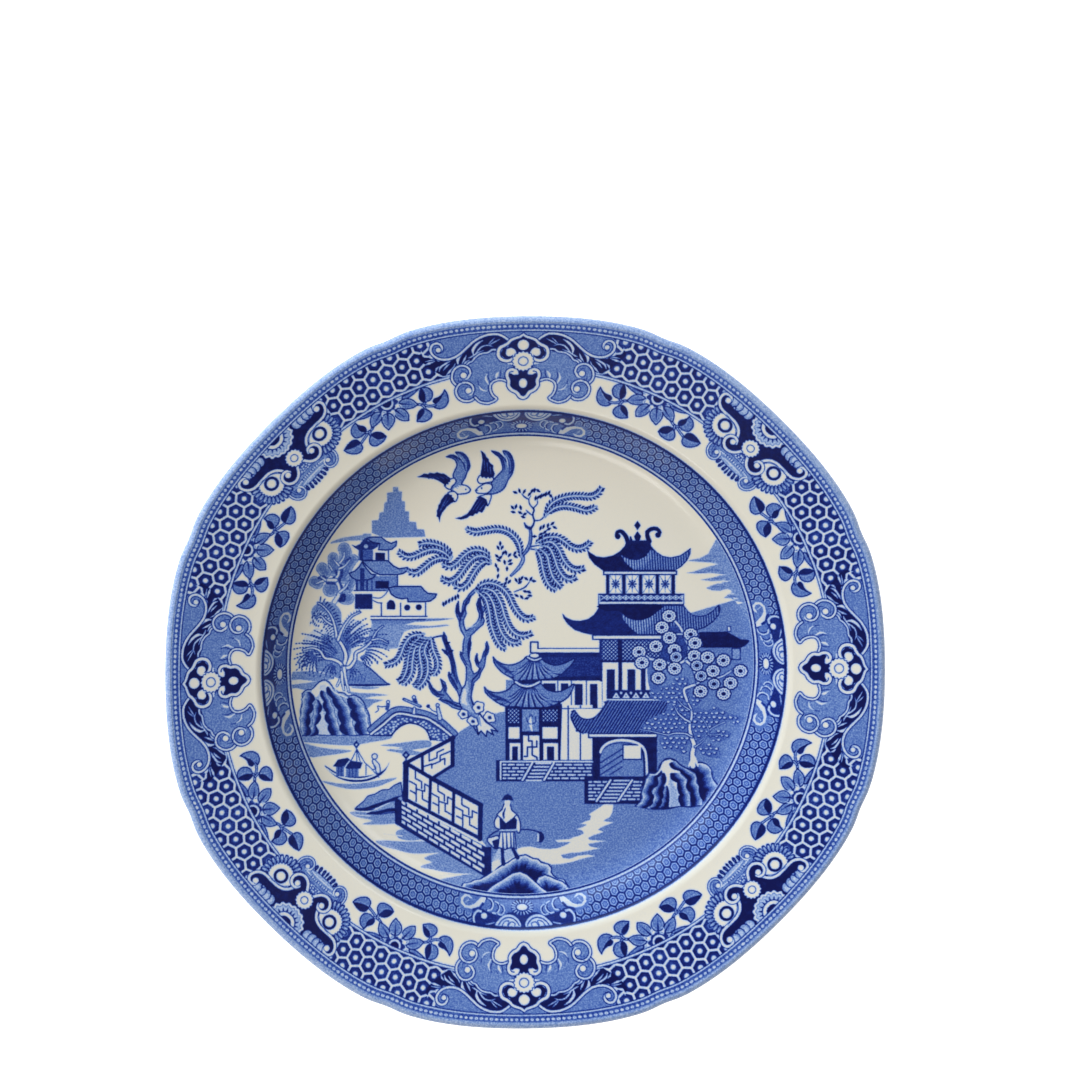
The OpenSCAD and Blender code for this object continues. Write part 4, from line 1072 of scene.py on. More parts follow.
    # rocks under it
    rock = ((302, 693.6), (306, 690), (312, 689), (316, 685), (320, 681.4), (325, 680), (330, 683), (334, 689), (338, 692), (344, 693), (348, 696), (354, 695), (360, 698), (364, 703),
            (366, 708), (369, 714), (370, 722), (371.4, 733.6), (360, 735), (345, 735.4), (330, 735), (316, 733), (311, 738.6), (304, 739), (300, 733), (301.6, 722), (300, 712), (302, 702))
    g.leaf(rock, 0.3, edge=1.1, smooth_n=3)
    g.fill(((316, 686.4), (320, 682.6), (325, 681.4), (330, 685), (334, 691), (330, 695), (322, 692), (316, 697), (311, 692)), 0.06, 3)
    g.fill(((320, 684), (326, 683), (325, 694), (322, 706), (325, 720), (330, 735), (312, 737), (317, 724), (319, 708)), 0.16)
    for dark, light, n in ((((319, 700), (320.4, 708), (320, 716), (316.4, 724), (317, 732), (312, 737)), ((315.6, 699), (314.4, 706), (313.4, 716), (311.6, 727), (309, 735.4)), 3),
                           (((311, 692), (313, 700), (311, 710), (308.6, 719), (309.4, 731), (306.6, 737)), ((305, 692), (302.6, 700), (302, 708), (300.6, 716), (300.4, 724), (301.4, 735)), 4),
                           (((320.6, 690), (323, 700), (325.4, 710), (326.4, 718), (329, 727), (331.6, 735.4)), ((326, 692), (332.4, 706), (335.4, 716), (339.4, 727), (342.6, 735)), 4),
                           (((326.6, 686), (329, 694), (334, 702), (338, 711), (340.4, 720), (341, 729), (345, 735.4)), ((336.4, 690), (342, 699), (348.4, 707), (352, 716), (353, 726), (356.6, 735)), 4),
                           (((347, 697), (350, 705), (351.4, 714), (355, 721), (356.4, 729), (359.6, 735)), ((357, 699), (363, 706), (366.6, 714), (368.4, 724), (369.6, 734.6)), 3)):
        finger(g, dark, light, n, bulge=3.0)
    g.line(((316, 688), (320, 684), (325, 683), (329.4, 686), (334, 692), (341, 695.4), (348, 698)), (1.2, 2.6, 3.4, 2, 1.4, 1.4, 0.8), 0.06)
    g.line(((300, 736), (316, 735), (340, 736), (372, 734.6)), 1.2, 0.9)

    # bridge
    arch = ((391, 735.8), (396, 730), (402, 725.4), (410, 723), (420, 725.4), (427, 731), (430.6, 740))
    g.fill(((371, 735), (384, 726), (395, 717), (404, 715.6), (414, 717.6), (425, 719.6), (433, 724), (442, 730), (452, 738), (448, 742)) + arch[::-1] , 0.78)
    cells = []
    for i in range(900):
        t = rng.uniform(0, 1)
        x = 374 + 74 * t
        up = np.interp(x, (371, 384, 395, 404, 414, 425, 433, 442, 452), (735, 727, 718.4, 717, 719, 721, 725.4, 731.4, 739))
        lo = np.interp(x, (371, 391, 396, 402, 410, 420, 427, 430.6, 434, 450), (735.4, 735.4, 729.4, 724.6, 722.4, 724.8, 730.4, 739, 741, 741.6))
        if lo - up < 2:
            continue
        y = rng.uniform(up + 1, lo - 1)
        if all(math.hypot(x - u, (y - v) * 1.25) > 2.9 for u, v in cells):
            cells.append((x, y))
            g.dot((x, y), rng.uniform(1.25, 1.6), 0.2, ry=rng.uniform(0.85, 1.15), tilt=rng.uniform(-40, 40))
    g.line(arch, 1.5, 0.95)
    g.line(((371, 735.4), (392, 735.8)), 1.3, 0.95)
    deck = ((370, 729.6), (378, 722.6), (386, 716), (393, 710.6), (401, 709), (412, 710.6), (424, 713), (432, 716), (441, 721), (448, 727), (455, 733.6))
    g.line(deck, 6.0, 0.93)
    g.line(deck, 4.0, 0.5)
    rail = ((371, 734), (383, 724.8), (394, 715.4), (402, 713.8), (414, 716), (426, 718.2), (434, 722.6), (443, 729), (453.6, 737.6))
    g.line(rail, 4.2, 0.93)
    g.line(rail, 2.1, 0.03)
    # three small walkers
    g.line(((388, 705), (387, 709)), (4.0, 3.4), 0.72)
    g.dot((388, 702), 2.0, 0.85)
    g.dot((388, 702), 1.2, 0.2)
    g.line(((386, 706.4), (381, 706.8), (377.6, 706), (378.4, 710), (375.6, 712.4)), 0.9, 0.9)
    g.line(((414.4, 708), (414, 713)), (3.0, 4.4), 0.9)
    g.line(((414.4, 708), (414, 713)), (1.4, 2.6), 0.12)
    g.line(((414.6, 700), (416.4, 704)), (4.4, 3.2), 0.85)
    g.dot((414, 697.4), 2.3, 0.85)
    g.dot((414, 697.4), 1.3, 0.2)
    g.line(((403.8, 699.2), (420.4, 706.4)), 3.0, 0.92)
    g.line(((404.6, 699.6), (419.8, 706)), 1.5, 0.4)
    g.line(((438, 708.6), (440, 718.6)), (4.0, 5.2), 0.9)
    g.line(((438, 708.6), (440, 718.4)), (2.2, 3.4), 0.2)
    g.dot((437.6, 705.2), 2.2, 0.88)
    g.dot((437.6, 705.2), 1.3, 0.25)
    g.line(((436, 712), (432.4, 710.4), (428.6, 706.6)), 0.9, 0.9)
    g.dot((428.2, 706.2), 1.9, 0.9)

    # the great willow: limbs first
    limb = 0.9
    def wood(pts, w, core=0.5, lw=0.55):
        g.line(pts, w, 0.92)
        g.line([(x + 0.1, y) for x, y in pts], [max(0.3, q - 2.0) for q in np.atleast_1d(w)] if np.ndim(w) else w - 2.0, core)
        g.line([(x - 0.7, y) for x, y in pts], [max(0.25, (q - 2.0) * 0.28) for q in np.atleast_1d(w)] if np.ndim(w) else (w - 2) * 0.28, 0.2)
    slim = ((459.4, 703), (459.6, 697.5), (457.5, 691.7), (453.3, 685.8), (450, 680.8), (448.3, 675.8), (448.8, 672), (450.8, 674.8), (452, 673.3), (451.7, 667.5), (450.4, 660.8), (448.3, 655.8), (445, 653.3),
            (442.2, 649.4), (446.7, 651.2), (445.8, 647.5), (443.8, 642.5), (442.5, 638.3), (443.8, 632.3), (446.3, 636.7), (447.1, 641.7), (450, 646.7), (452.1, 652.5), (453.8, 659.2), (455.4, 665.8),
            (456.3, 672.5), (457.5, 678.3), (460.8, 685.8), (462.4, 688.8), (465, 700))
    low = ((460, 704), (453.3, 701.7), (449.2, 696.7), (445.8, 692.5), (446.5, 687.5), (445, 682.5), (440.6, 679), (441.7, 683.3), (442.9, 688.3), (440.8, 691.7), (436.7, 691.7), (432.5, 687.5), (428.6, 681),
           (429.2, 687.5), (432.5, 693.3), (437.5, 696.7), (442.5, 697.5), (439, 699.4), (444.2, 702.5), (448.3, 704.2), (452.5, 707.5), (458.3, 709.2), (464, 711), (468, 706))
    tree = ((459.6, 703), (460, 696), (462.1, 688.8), (465, 685), (466, 680), (466.4, 673.3), (466.3, 667.5), (464.2, 663.3), (461.7, 659.2), (460.4, 655.8), (460.3, 651.8), (462.9, 653.6), (462.9, 648.3),
            (463.3, 641.7), (465, 637.1), (463.3, 634.2), (460.8, 630), (459.6, 625.8), (459.2, 620.8), (457.1, 616.7), (455.7, 611.7), (456.3, 605.8), (458.4, 601.2), (458.8, 606.7), (459.2, 611.7), (461, 614.2),
            (462.1, 610.8), (462.7, 605.8), (463.8, 601.7), (467.1, 597.5), (469.2, 594.2), (473.3, 590), (476, 588.2), (475, 592.5), (471.7, 595.4), (470, 598.4), (468.8, 602.5), (465.8, 605.8), (465.4, 610),
            (466.3, 613.3), (465, 616.7), (463.3, 620), (463.8, 625), (465.8, 630.8), (468.3, 629.6), (473.3, 625.8), (477.5, 621.7), (479.2, 617.5), (479.2, 613.3), (477.5, 609.2), (476.7, 604.2), (478.3, 599.2),
            (480.4, 597), (480.8, 602.5), (481.7, 606.4), (486.4, 607.8), (483.3, 612.5), (482.9, 616.7), (484.4, 620.4), (483.3, 624.2), (478.3, 628.3), (474.2, 632.5), (470.8, 635.4), (470.4, 639.2), (471, 643.2),
            (470.4, 648.3), (469.2, 654.2), (469.2, 659.2), (470.8, 664.2), (471.7, 670), (474.2, 674.2), (478.3, 671.3), (479.6, 668.3), (476.7, 665), (475, 660.8), (475.8, 655.8), (477.2, 653.6), (477.5, 659.2),
            (479.2, 663.3), (481.7, 659.2), (483.3, 653.3), (485.8, 648.3), (485.8, 643.8), (486.8, 641.6), (488.8, 646.7), (488.3, 651.7), (485.8, 656.7), (485, 661.7), (484.2, 666.7), (480.8, 672.5), (479.2, 677.5),
            (474.2, 682.5), (472.9, 687.5), (471.7, 692.5), (471.3, 697.5), (472.5, 701.7), (475, 706.7), (479.2, 711.7), (482.5, 717.5), (485, 725), (478.3, 735), (474.2, 728), (471.7, 720), (466.7, 713.3), (461.7, 709))
    for shape_ in (slim, low, tree):
        g.fill(shape_, 0.52)
        g.line(list(shape_) + [shape_[0]], 1.15, 0.93, 0)
    g.fill(((459.9, 701), (462.6, 689.6), (465.4, 686.4), (467.4, 680), (468.6, 690), (467.4, 699), (471, 707), (476, 713), (470, 712), (463, 706.4)), 0.3, 3)
    g.fill(((461.4, 701.4), (463.2, 691), (465.4, 688.4), (466.4, 694), (465.8, 700), (467.6, 705.4), (463.4, 703.6)), 0.08, 3)
    for pts, w in ((((443.6, 636), (446.6, 645), (450.6, 654), (452.6, 663), (454, 673), (457.4, 683)), (2.6, 3.2, 3.2, 3.4, 2.6, 1.0)), (((443.4, 650.4), (448, 653.6)), (1.4, 2.4)), (((449.4, 674.6), (453, 681), (457.6, 689)), (1.2, 3.2, 1.4)),
                   (((430, 685), (433.6, 691), (438.6, 694.4), (444, 695)), (1.2, 2.6, 2.8, 1)), (((441.6, 681.4), (444.4, 687), (444, 692)), (1, 2.4, 1.2)), (((441, 699.4), (448, 701.4), (456, 705.4), (462, 707.6)), (1, 2.6, 2.4, 1)),
                   (((469.8, 638), (468.8, 645), (468.6, 653), (469, 660)), (1, 3, 2.6, 1)), (((479.6, 600), (479.4, 606), (481.8, 613), (481, 621)), (2.4, 3.6, 3, 1)), (((461.6, 616), (464, 610), (466, 603), (470.4, 596)), (1.6, 2, 2, 1.6)),
                   (((457.4, 604), (457.4, 611), (460, 617), (461.4, 625)), (1.4, 2.6, 2.4, 1)), (((461.4, 654), (464, 659.6), (467, 664.4)), (1, 1.4, 0.8)), (((487, 645), (486.4, 651), (484, 657)), (1, 2.4, 1)),
                   (((476.8, 656.4), (476.8, 661), (479, 665.4)), (1, 2.2, 1)), (((481, 668), (477.4, 675), (472.6, 680), (471, 690)), (1, 1.8, 1.6, 0.8)), (((470.6, 697), (473, 704.4), (478, 711), (481.6, 717)), (0.8, 1.4, 1.4, 1))):
        g.line(pts, w, 0.9)
    g.line(((467, 628), (472, 627), (477, 623.6), (480, 618.6)), (0.6, 1.6, 1.4, 0.5), 0.34)
    g.line(((461, 621), (462, 627), (465, 634), (466, 640)), (0.5, 1.1, 1.4, 0.5), 0.36)
    # root and the knots on it
    g.leaf(((479, 713), (486, 722), (492.4, 726.4), (498, 731.6), (491, 729.6), (493.6, 735), (487, 731), (486.4, 736.6), (481, 731), (478.4, 733.6), (476, 724)), 0.07, edge=1.3, smooth_n=0)
    g.line(((474, 711), (478, 718), (481, 726)), (1, 4, 1), 0.4)
    for x, y, rx, ry in ((478.4, 707.4, 5, 5.6), (489.6, 717.4, 5.8, 4.4), (463.4, 714, 4.4, 4.2), (472.8, 721.2, 5.4, 3.8)):
        g.dot((x, y), rx + 1.1, 0.88, ry=ry + 1.1, tilt=-35, wave=5, wave_h=0.09)
        g.dot((x, y), rx, 0.06, ry=ry, tilt=-35, wave=5, wave_h=0.09)
        g.dot((x + 0.2, y + 0.2), 2.3, 0.5, ry=2.0, tilt=-35)
        g.dot((x + 0.2, y + 0.2), 1.6, 0.95, ry=1.3, tilt=-35)
    # the upper stem and its twigs
    wood(((511, 575.6), (518.6, 568), (522.8, 560.8), (523, 556.4)), (2.6, 3.8, 4, 3.4), 0.4)
    wood(((522, 556), (527, 550), (530, 543), (530.8, 534), (529.8, 528)), (3, 4.2, 3.8, 3.4, 3), 0.62)
    g.line(((530, 528.6), (526.4, 526.6), (524.2, 522.8)), (2.6, 3, 1), 0.92)
    g.line(((531, 528.4), (533.4, 524.4), (534.2, 520.6), (532.8, 514.6), (534, 510.4), (533, 508)), (2.4, 1.8, 1.8, 1.6, 1.8, 1.6), 0.92)
    g.line(((534.2, 520.8), (540, 520), (544.2, 516.4), (548.6, 509)), (1.3, 1.2, 1.4, 1.4), 0.92)
    g.line(((533, 508.4), (529.4, 503.6), (529, 499), (531, 495.6)), (1.3, 1.2, 1, 0.7), 0.92)
    g.line(((533.4, 508), (537.4, 503.6), (537, 499)), (1.3, 1.1, 0.7), 0.92)
    g.line(((528.8, 499.6), (524.6, 496.8), (521.4, 493.6)), (1, 1.6, 0.6), 0.92)
    g.line(((532.4, 515.4), (528.6, 512.6), (526, 509.8)), (0.9, 1.4, 0.7), 0.92)
    g.line(((531.4, 546.6), (536, 545.8), (541, 545.4)), (1.6, 1.2, 1), 0.9)
    g.line(((531, 549), (536, 549.6), (539, 551)), (1.6, 1.2, 1), 0.9)
    g.line(((529.4, 582), (524.6, 587.4), (514, 592)), (0.8, 1.6, 0.9), 0.92)
    g.line(((444, 635.6), (438, 636.4), (430, 638), (420, 636.4), (411, 638)), (2, 1.6, 1.4, 1.2, 1), 0.92)
    fronds = (
        ((545, 517), (550, 505.6), (558, 499.6), (568, 496.6), (580, 496), (591, 496.6), (598, 493.4), (601.4, 488.4)),
        ((547, 514), (555, 508), (565, 506), (577, 508), (587, 510.6), (596, 507)),
        ((521, 557), (519.6, 546), (515.4, 538), (508, 531.8), (498, 529), (486, 530.4), (475, 532), (466.6, 529)),
        ((536, 543), (545, 538), (556, 537), (564, 541), (571, 546.8), (578, 548.8), (585, 547), (590, 542.4)),
        ((541, 544), (551, 542), (558.4, 549), (563.4, 559.6), (570, 567.4), (577, 570), (583.4, 568.4)),
        ((541, 545.6), (549, 547.6), (554, 557), (557.6, 567.6), (563, 576), (569, 579.4), (575.4, 577.6)),
        ((540, 549), (547, 556), (549.6, 567), (553, 577), (558, 583), (561, 586.6)),
        ((536, 549.6), (540.4, 557), (542.4, 567), (545, 577), (549.6, 585.6), (555.6, 589.6)),
        ((490, 557), (485.6, 552.6), (478, 550), (470, 551.4), (463, 556.6), (457, 563), (450, 566.8), (443, 564.4)),
        ((490.6, 560.6), (484, 556.4), (476, 557), (469, 562.4), (463, 570.4), (457, 578), (449, 582), (442, 578.6)),
        ((491, 563.4), (485, 562), (479, 566), (473, 574.4), (468, 583), (461, 588), (455, 585.6)),
        ((452, 557), (446, 549.6), (438, 545), (428, 543), (420, 544.4)),
        ((451, 558.8), (444, 552.6), (434, 549.4), (423, 552), (413, 556.6), (405, 556.4), (399, 552)),
        ((450, 560), (441, 558), (432, 561), (424, 567.4), (416, 573), (409, 571.6)),
        ((424, 634), (412, 636), (404.6, 644.6), (400.6, 655), (395, 662), (386, 665)),
        ((420, 637), (412, 646), (408.6, 657), (407, 668), (403, 678.6), (399, 681)),
        ((424, 638), (415, 649), (412.6, 661), (411.4, 673), (406.6, 681), (403, 684)),
        ((427, 638.6), (420, 648), (420.4, 660), (422, 672), (419, 682), (414.6, 686)),
        ((430, 638), (424.6, 650), (427.4, 661), (427.6, 673), (423.6, 682), (418, 688)),
        ((431, 637.6), (433, 649), (437.4, 660), (437.6, 668), (434, 674.6)),
        ((476, 590.4), (482, 584.6), (491, 583), (501, 587), (508.4, 595), (513.6, 606), (519.6, 614.6), (526.4, 619), (534, 617.4)),
        ((476, 591), (485, 588.6), (494, 592), (500.6, 602.6), (504.6, 615.6), (509.4, 627), (516, 634), (524, 635.8), (531, 633.4)),
        ((477, 591.4), (487, 593.6), (493.4, 604), (496.6, 617), (500, 629), (506, 638.6), (513.6, 643), (520, 642)),
        ((478, 592), (485.4, 599), (489, 611), (491, 624), (495, 636), (500, 645), (505, 648.6)),
    )
    for f in fronds:
        frond(g, f, w=6.8)
    dots = ((515, 492.4, 160), (519.4, 490.6, 110), (524.4, 491.4, 60), (529.6, 494, 50), (532, 491, 60), (534.6, 490, 80), (538, 490.6, 150), (535.6, 498, 80), (538.6, 497, 50),
            (541, 496, 80), (543.6, 495, 50), (546, 494, 80), (549, 492.6, 60), (550.6, 495.6, 130), (512.4, 507.4, 130), (516, 506.4, 70), (513, 512, 170), (520.6, 507.4, 100),
            (520, 512.6, 150), (525, 514, 30), (523, 517, 160), (540.6, 528, 70), (543.6, 526.4, 70), (548, 525.4, 80), (552.6, 523.4, 40), (554.6, 527.4, 150), (549, 529, 30),
            (545, 532, 45), (534.6, 536.4, 0), (541, 534, 30), (546, 535, 30), (540.6, 537.6, 150), (500.2, 543.4, 90), (498, 547.6, 120), (502.2, 547.4, 60), (503.4, 553, 60),
            (506, 552.4, 100), (509.6, 555, 50), (496.8, 556, 140), (500.6, 557.4, 45), (498.4, 560, 150), (504.6, 562, 100), (510, 560.6, 30), (510.6, 563.8, 20), (515, 553, 50),
            (515.4, 556.4, 150), (496, 565.4, 110), (498, 569.6, 90), (507, 568.6, 90), (498, 576, 75), (506.6, 579, 70), (509.4, 581.6, 50), (505.4, 583.4, 60), (516, 580, 120),
            (519.4, 579.8, 90), (522, 578, 60), (526, 578.6, 140), (531, 578.8, 60), (533.6, 581, 170), (520, 582.4, 30), (516.4, 595.4, 150), (521.6, 597, 130), (525, 591.4, 160),
            (529, 592, 150), (529.6, 595.6, 170), (527, 598.2, 20), (443.4, 604, 100), (446, 602.4, 80), (449.2, 600.6, 80), (452.4, 599, 80), (455.4, 597.6, 90), (458, 596, 100),
            (448, 643, 20), (451.4, 651, 20))
    leaves(g, dots, size=4.1, v=1.0)


def finger(g, dark, light, n, bulge=2.1, base=0.14, deep=0.97):
    """One upright fold of a rock: deep, bulging shade on one side that thins out to a pale, crinkled edge."""
    m = 40
    def even(pts):
        c = curve(np.asarray(pts, float), 8)
        L = np.concatenate([[0], np.cumsum(np.hypot(*np.diff(c, axis=0).T))])
        t = np.linspace(0, L[-1], m)
        return np.stack([np.interp(t, L, c[:, 0]), np.interp(t, L, c[:, 1])], axis=1)
    d, l = even(dark), even(light)
    u = np.linspace(0, 1, m)[:, None]
    out = d - l
    out /= np.maximum(1e-6, np.hypot(*out.T))[:, None]
    d = d + out * bulge * (np.abs(np.sin(n * math.pi * u)) ** 0.7 - 0.35)
    l = l - out * bulge * 0.55 * (1 - np.abs(np.sin((n + 0.5) * math.pi * u + 0.6)) ** 0.6)
    wav = 0.09 * np.abs(np.sin(n * math.pi * u)) + 0.05 * np.sin(9 * math.pi * u + 1)
    g.fill([tuple(p) for p in d] + [tuple(p) for p in l[::-1]], base)
    g.line([tuple(p) for p in l], 1.0, 0.62)
    for f, v in ((0.84, 0.26), (0.74, 0.4), (0.64, 0.52), (0.54, 0.64), (0.45, 0.76), (0.37, 0.88), (0.29, deep)):
        e = d + (l - d) * np.clip(f + wav, 0, 0.93)
        g.fill([tuple(p) for p in d] + [tuple(p) for p in e[::-1]], v)


def crag(g, rim, foot, rng, reach=1.2):
    """A mound with a light, crinkled rim that darkens downwards in flutes."""
    r = np.asarray(rim, float)
    L = np.concatenate([[0], np.cumsum(np.hypot(*np.diff(r, axis=0).T))])
    t = np.arange(0, L[-1], 1.1)
    r = np.stack([np.interp(t, L, r[:, 0]), np.interp(t, L, r[:, 1])], axis=1)
    c = np.mean(np.asarray(foot, float), axis=0)
    way = c - r
    way /= np.maximum(1e-6, np.hypot(*way.T))[:, None]
    g.fill([tuple(p) for p in r] + list(foot), 0.1)
    g.line([tuple(p) for p in r], 2.5, 0.9)
    g.line([tuple(p) for p in r + way * 0.9], 1.6, 0.1)
    flute = np.interp(np.arange(len(r)), np.arange(0, len(r) + 3, 1.6), rng.uniform(0.55, 1.5, len(np.arange(0, len(r) + 3, 1.6))))
    for k, v in enumerate((0.22, 0.34, 0.45, 0.55, 0.64, 0.74, 0.84, 0.92, 0.97)):
        q = r + way * ((1.6 + k * reach) * (0.45 + 0.55 * flute))[:, None]
        g.fill([tuple(p) for p in q] + list(foot), v)


def bricks(g, x0, y0, x1, y1, stairs, rng):
    g.fill(box(x0, y0, x1, y1), 0.92)
    n = int(round((y1 - y0) / 3.35))
    h = (y1 - y0) / n
    for k in range(n):
        y = y0 + (k + 0.5) * h
        x = x0 + (0 if k % 2 else -4.2)
        while x < x1:
            w = rng.uniform(6.4, 9.6)
            a, b = max(x0, x), min(x1, x + w)
            if b - a > 1:
                g.line(((a + 0.9, y), (b - 0.9, y)), 1.85, rng.uniform(0.06, 0.22), 0)
            x += w + 1.2
    for lo, hi in stairs:
        g.fill(((hi + 1, y0), (hi + 22, y0), (lo + 22, y1), (lo + 1, y1)), 0.9)
        for k in range(n + 1):
            y = y0 + k * h + 0.4
            f = (y - y0) / (y1 - y0)
            g.line(((hi + (lo - hi) * f + 4, y), (hi + (lo - hi) * f + 19.5, y)), 1.7, 0.1, 0)
        for off in (0, 21.5):
            g.line(((hi + off, y0), (lo + off, y1)), 4.0, 0.93, 0)
            g.line(((hi + off, y0), (lo + off, y1)), 2.1, 0.06, 0)


def fan_roof(g, outline, hub, ends, tone=0.5):
    g.leaf(outline, tone, edge=1.3, smooth_n=4)
    hx, hy = hub
    for ex, ey in ends:
        side = 1 if ex < hx else -1
        bend = abs(ex - hx) * 0.16
        m = (hx + (ex - hx) * 0.55, hy + (ey - hy) * 0.45 + bend)
        g.line(((hx + (ex - hx) * 0.16, hy + 1.4), m, (ex, ey)), (1.0, 1.6, 1.9), 0.9)
        g.line(((hx + (ex - hx) * 0.22 + 1.2, hy + 2.6), (m[0] + 1.7 * side, m[1]), (ex + 2.2 * side, ey - 1.4)), (0.4, 1.0, 0.8), 0.3)


def blossom(g, x, y, r=6.7):
    g.dot((x, y), r + 1.4, 0.95, ry=r * 0.9 + 1.4, wave=11, wave_h=0.03)
    g.dot((x, y), r, 0.05, ry=r * 0.9, wave=11, wave_h=0.05)
    for t in np.arange(0, 360, 33):
        a = math.radians(t)
        g.dot((x + 0.66 * r * math.cos(a), y + 0.58 * r * math.sin(a)), 0.7, 0.86)
    g.dot((x, y), 2.4, 0.97, ry=2.0)


def scene_lower(g, rng):
    # open water on the left
    for pts in (((299, 738), (330, 735.8), (372, 736), (392, 737), (385, 740), (372, 742), (362, 744), (350, 745.4), (330, 744.6), (312, 743), (302, 742)),
                ((303, 744), (318, 747), (340, 749.4), (352, 751), (338, 754), (322, 756), (309, 757)),
                ((380, 745.4), (400, 743), (418, 740.6), (430, 741), (430, 747), (412, 750), (424, 753), (410, 755.4), (398, 752.6), (386, 750), (402, 747.4)),
                ((320, 781), (338, 783.4), (356, 783.6), (372, 781.6), (397, 777.6), (386, 783.4), (374, 787.4), (352, 789.2), (334, 786)),
                ((350, 812), (372, 812.6), (398, 813), (399, 822), (384, 824.4), (362, 824.4), (373, 820.6), (356, 817)),
                ((396, 832), (404, 829), (420, 833), (426, 838), (412, 840.6), (399, 838.4)),
                ((376, 841), (404, 841.6), (430, 842), (452, 851), (432, 853), (412, 853.4), (395, 849.6), (382, 846)),
                ((424, 858), (440, 853), (456, 852.6), (472, 862), (484, 870), (486, 876), (472, 874), (452, 873), (434, 870), (420, 867), (432, 862.4)),
                ((438, 881), (456, 876.6), (474, 874), (486, 878), (474, 884), (462, 888), (448, 885))):
        g.fill(pts, 0.43, 3)
    for pts in (((322, 747.4), (334, 748.6), (348, 749)), ((386, 748.4), (402, 749.4)), ((384, 834), (402, 836)), ((354, 815), (370, 816)), ((440, 876), (458, 873.6))):
        g.line(pts, (0.6, 1.5, 0.5) if len(pts) == 3 else (0.6, 1.3), 0.08)
    # low rocks beside the fence
    g.leaf(((401, 782.4), (394, 785.4), (389, 789.4), (382, 790), (375, 794), (368, 796), (364, 801), (359, 805), (355, 809.4), (364, 810.6), (376, 809), (386, 804), (394, 801), (402, 797)), 0.46, edge=1.0, smooth_n=3)
    g.line(((356, 809), (366, 809), (376, 805.6), (386, 802), (398, 797)), (1.4, 3.4, 3.8, 3, 2), 0.96)
    g.leaf(((367, 813.8), (374, 810.4), (380, 806), (387, 802.6), (394, 800.4), (402, 796), (402, 811), (390, 812.6), (380, 814.2)), 0.4, edge=1.0, smooth_n=3)
    g.line(((369, 813.4), (380, 812), (390, 810), (400, 810)), (1.2, 3.2, 3.8, 3), 0.97)
    g.line(((372, 811), (381, 806.6), (390, 802.6)), (0.8, 1.6, 0.8), 0.1)
    # boat
    g.fill(((324.4, 765.6), (330, 772), (338, 778), (348, 781.2), (358, 782), (368, 780.8), (378, 776.8), (385.4, 770.4), (389.6, 761.4), (386, 768), (380, 772.2), (370, 775.4), (358, 776.6), (346, 776.2), (336, 772.4), (329, 768)), 0.95, 3)
    g.line(((327, 768.4), (334, 773.8), (343, 777.4), (355, 779), (366, 778.2), (376, 774.4), (384, 768.4), (388, 763.4)), (0.6, 1.6, 1.9, 1.9, 1.9, 1.7, 1.2, 0.5), 0.04)
    g.fill(box(336, 766, 345, 776.4), 0.66)
    for x in (338.4, 341.2):
        g.line(((x, 767), (x, 776)), 0.8, 0.9)
    g.fill(box(346, 768, 358.6, 777), 0.6)
    for x in (349.4, 352.6, 356):
        g.line(((x, 768.6), (x, 776.8)), 0.8, 0.88)
    g.fill(((333, 766.4), (338, 759.6), (347.6, 757.8), (352.6, 761.6), (347, 765), (341, 767)), 0.96)
    g.fill(((344, 767), (349.4, 760.4), (362.6, 762.4), (360.4, 768.6), (347, 768.8)), 0.94)
    g.line(((344.6, 776.4), (344.8, 768), (349.4, 761)), 1.3, 0.12)
    for pts in (((356.6, 748), (356.8, 763)), ((356.4, 750), (351, 761)), ((357, 750), (360.6, 763)), ((357.2, 749.6), (365, 763), (372, 769), (379, 777.4)), ((366, 765), (366, 775))):
        g.line(pts, 0.95, 0.8, 0)
    g.fill(((356.4, 740.4), (359.6, 744.6), (356.4, 749), (353.2, 744.6)), 0.9)
    g.dot((356.4, 744.6), 1.1, 0.25)
    g.line(((374, 761), (377, 766), (378.4, 772)), (4.4, 6.4, 5), 0.86)
    g.line(((374, 761), (377, 766), (378.2, 771.4)), (2.6, 4.4, 3.2), 0.1)
    g.line(((372.4, 763), (376, 768), (372, 770)), 0.8, 0.85)
    g.dot((374.6, 756.4), 3.3, 0.84)
    g.dot((374.6, 756.4), 2.3, 0.1)

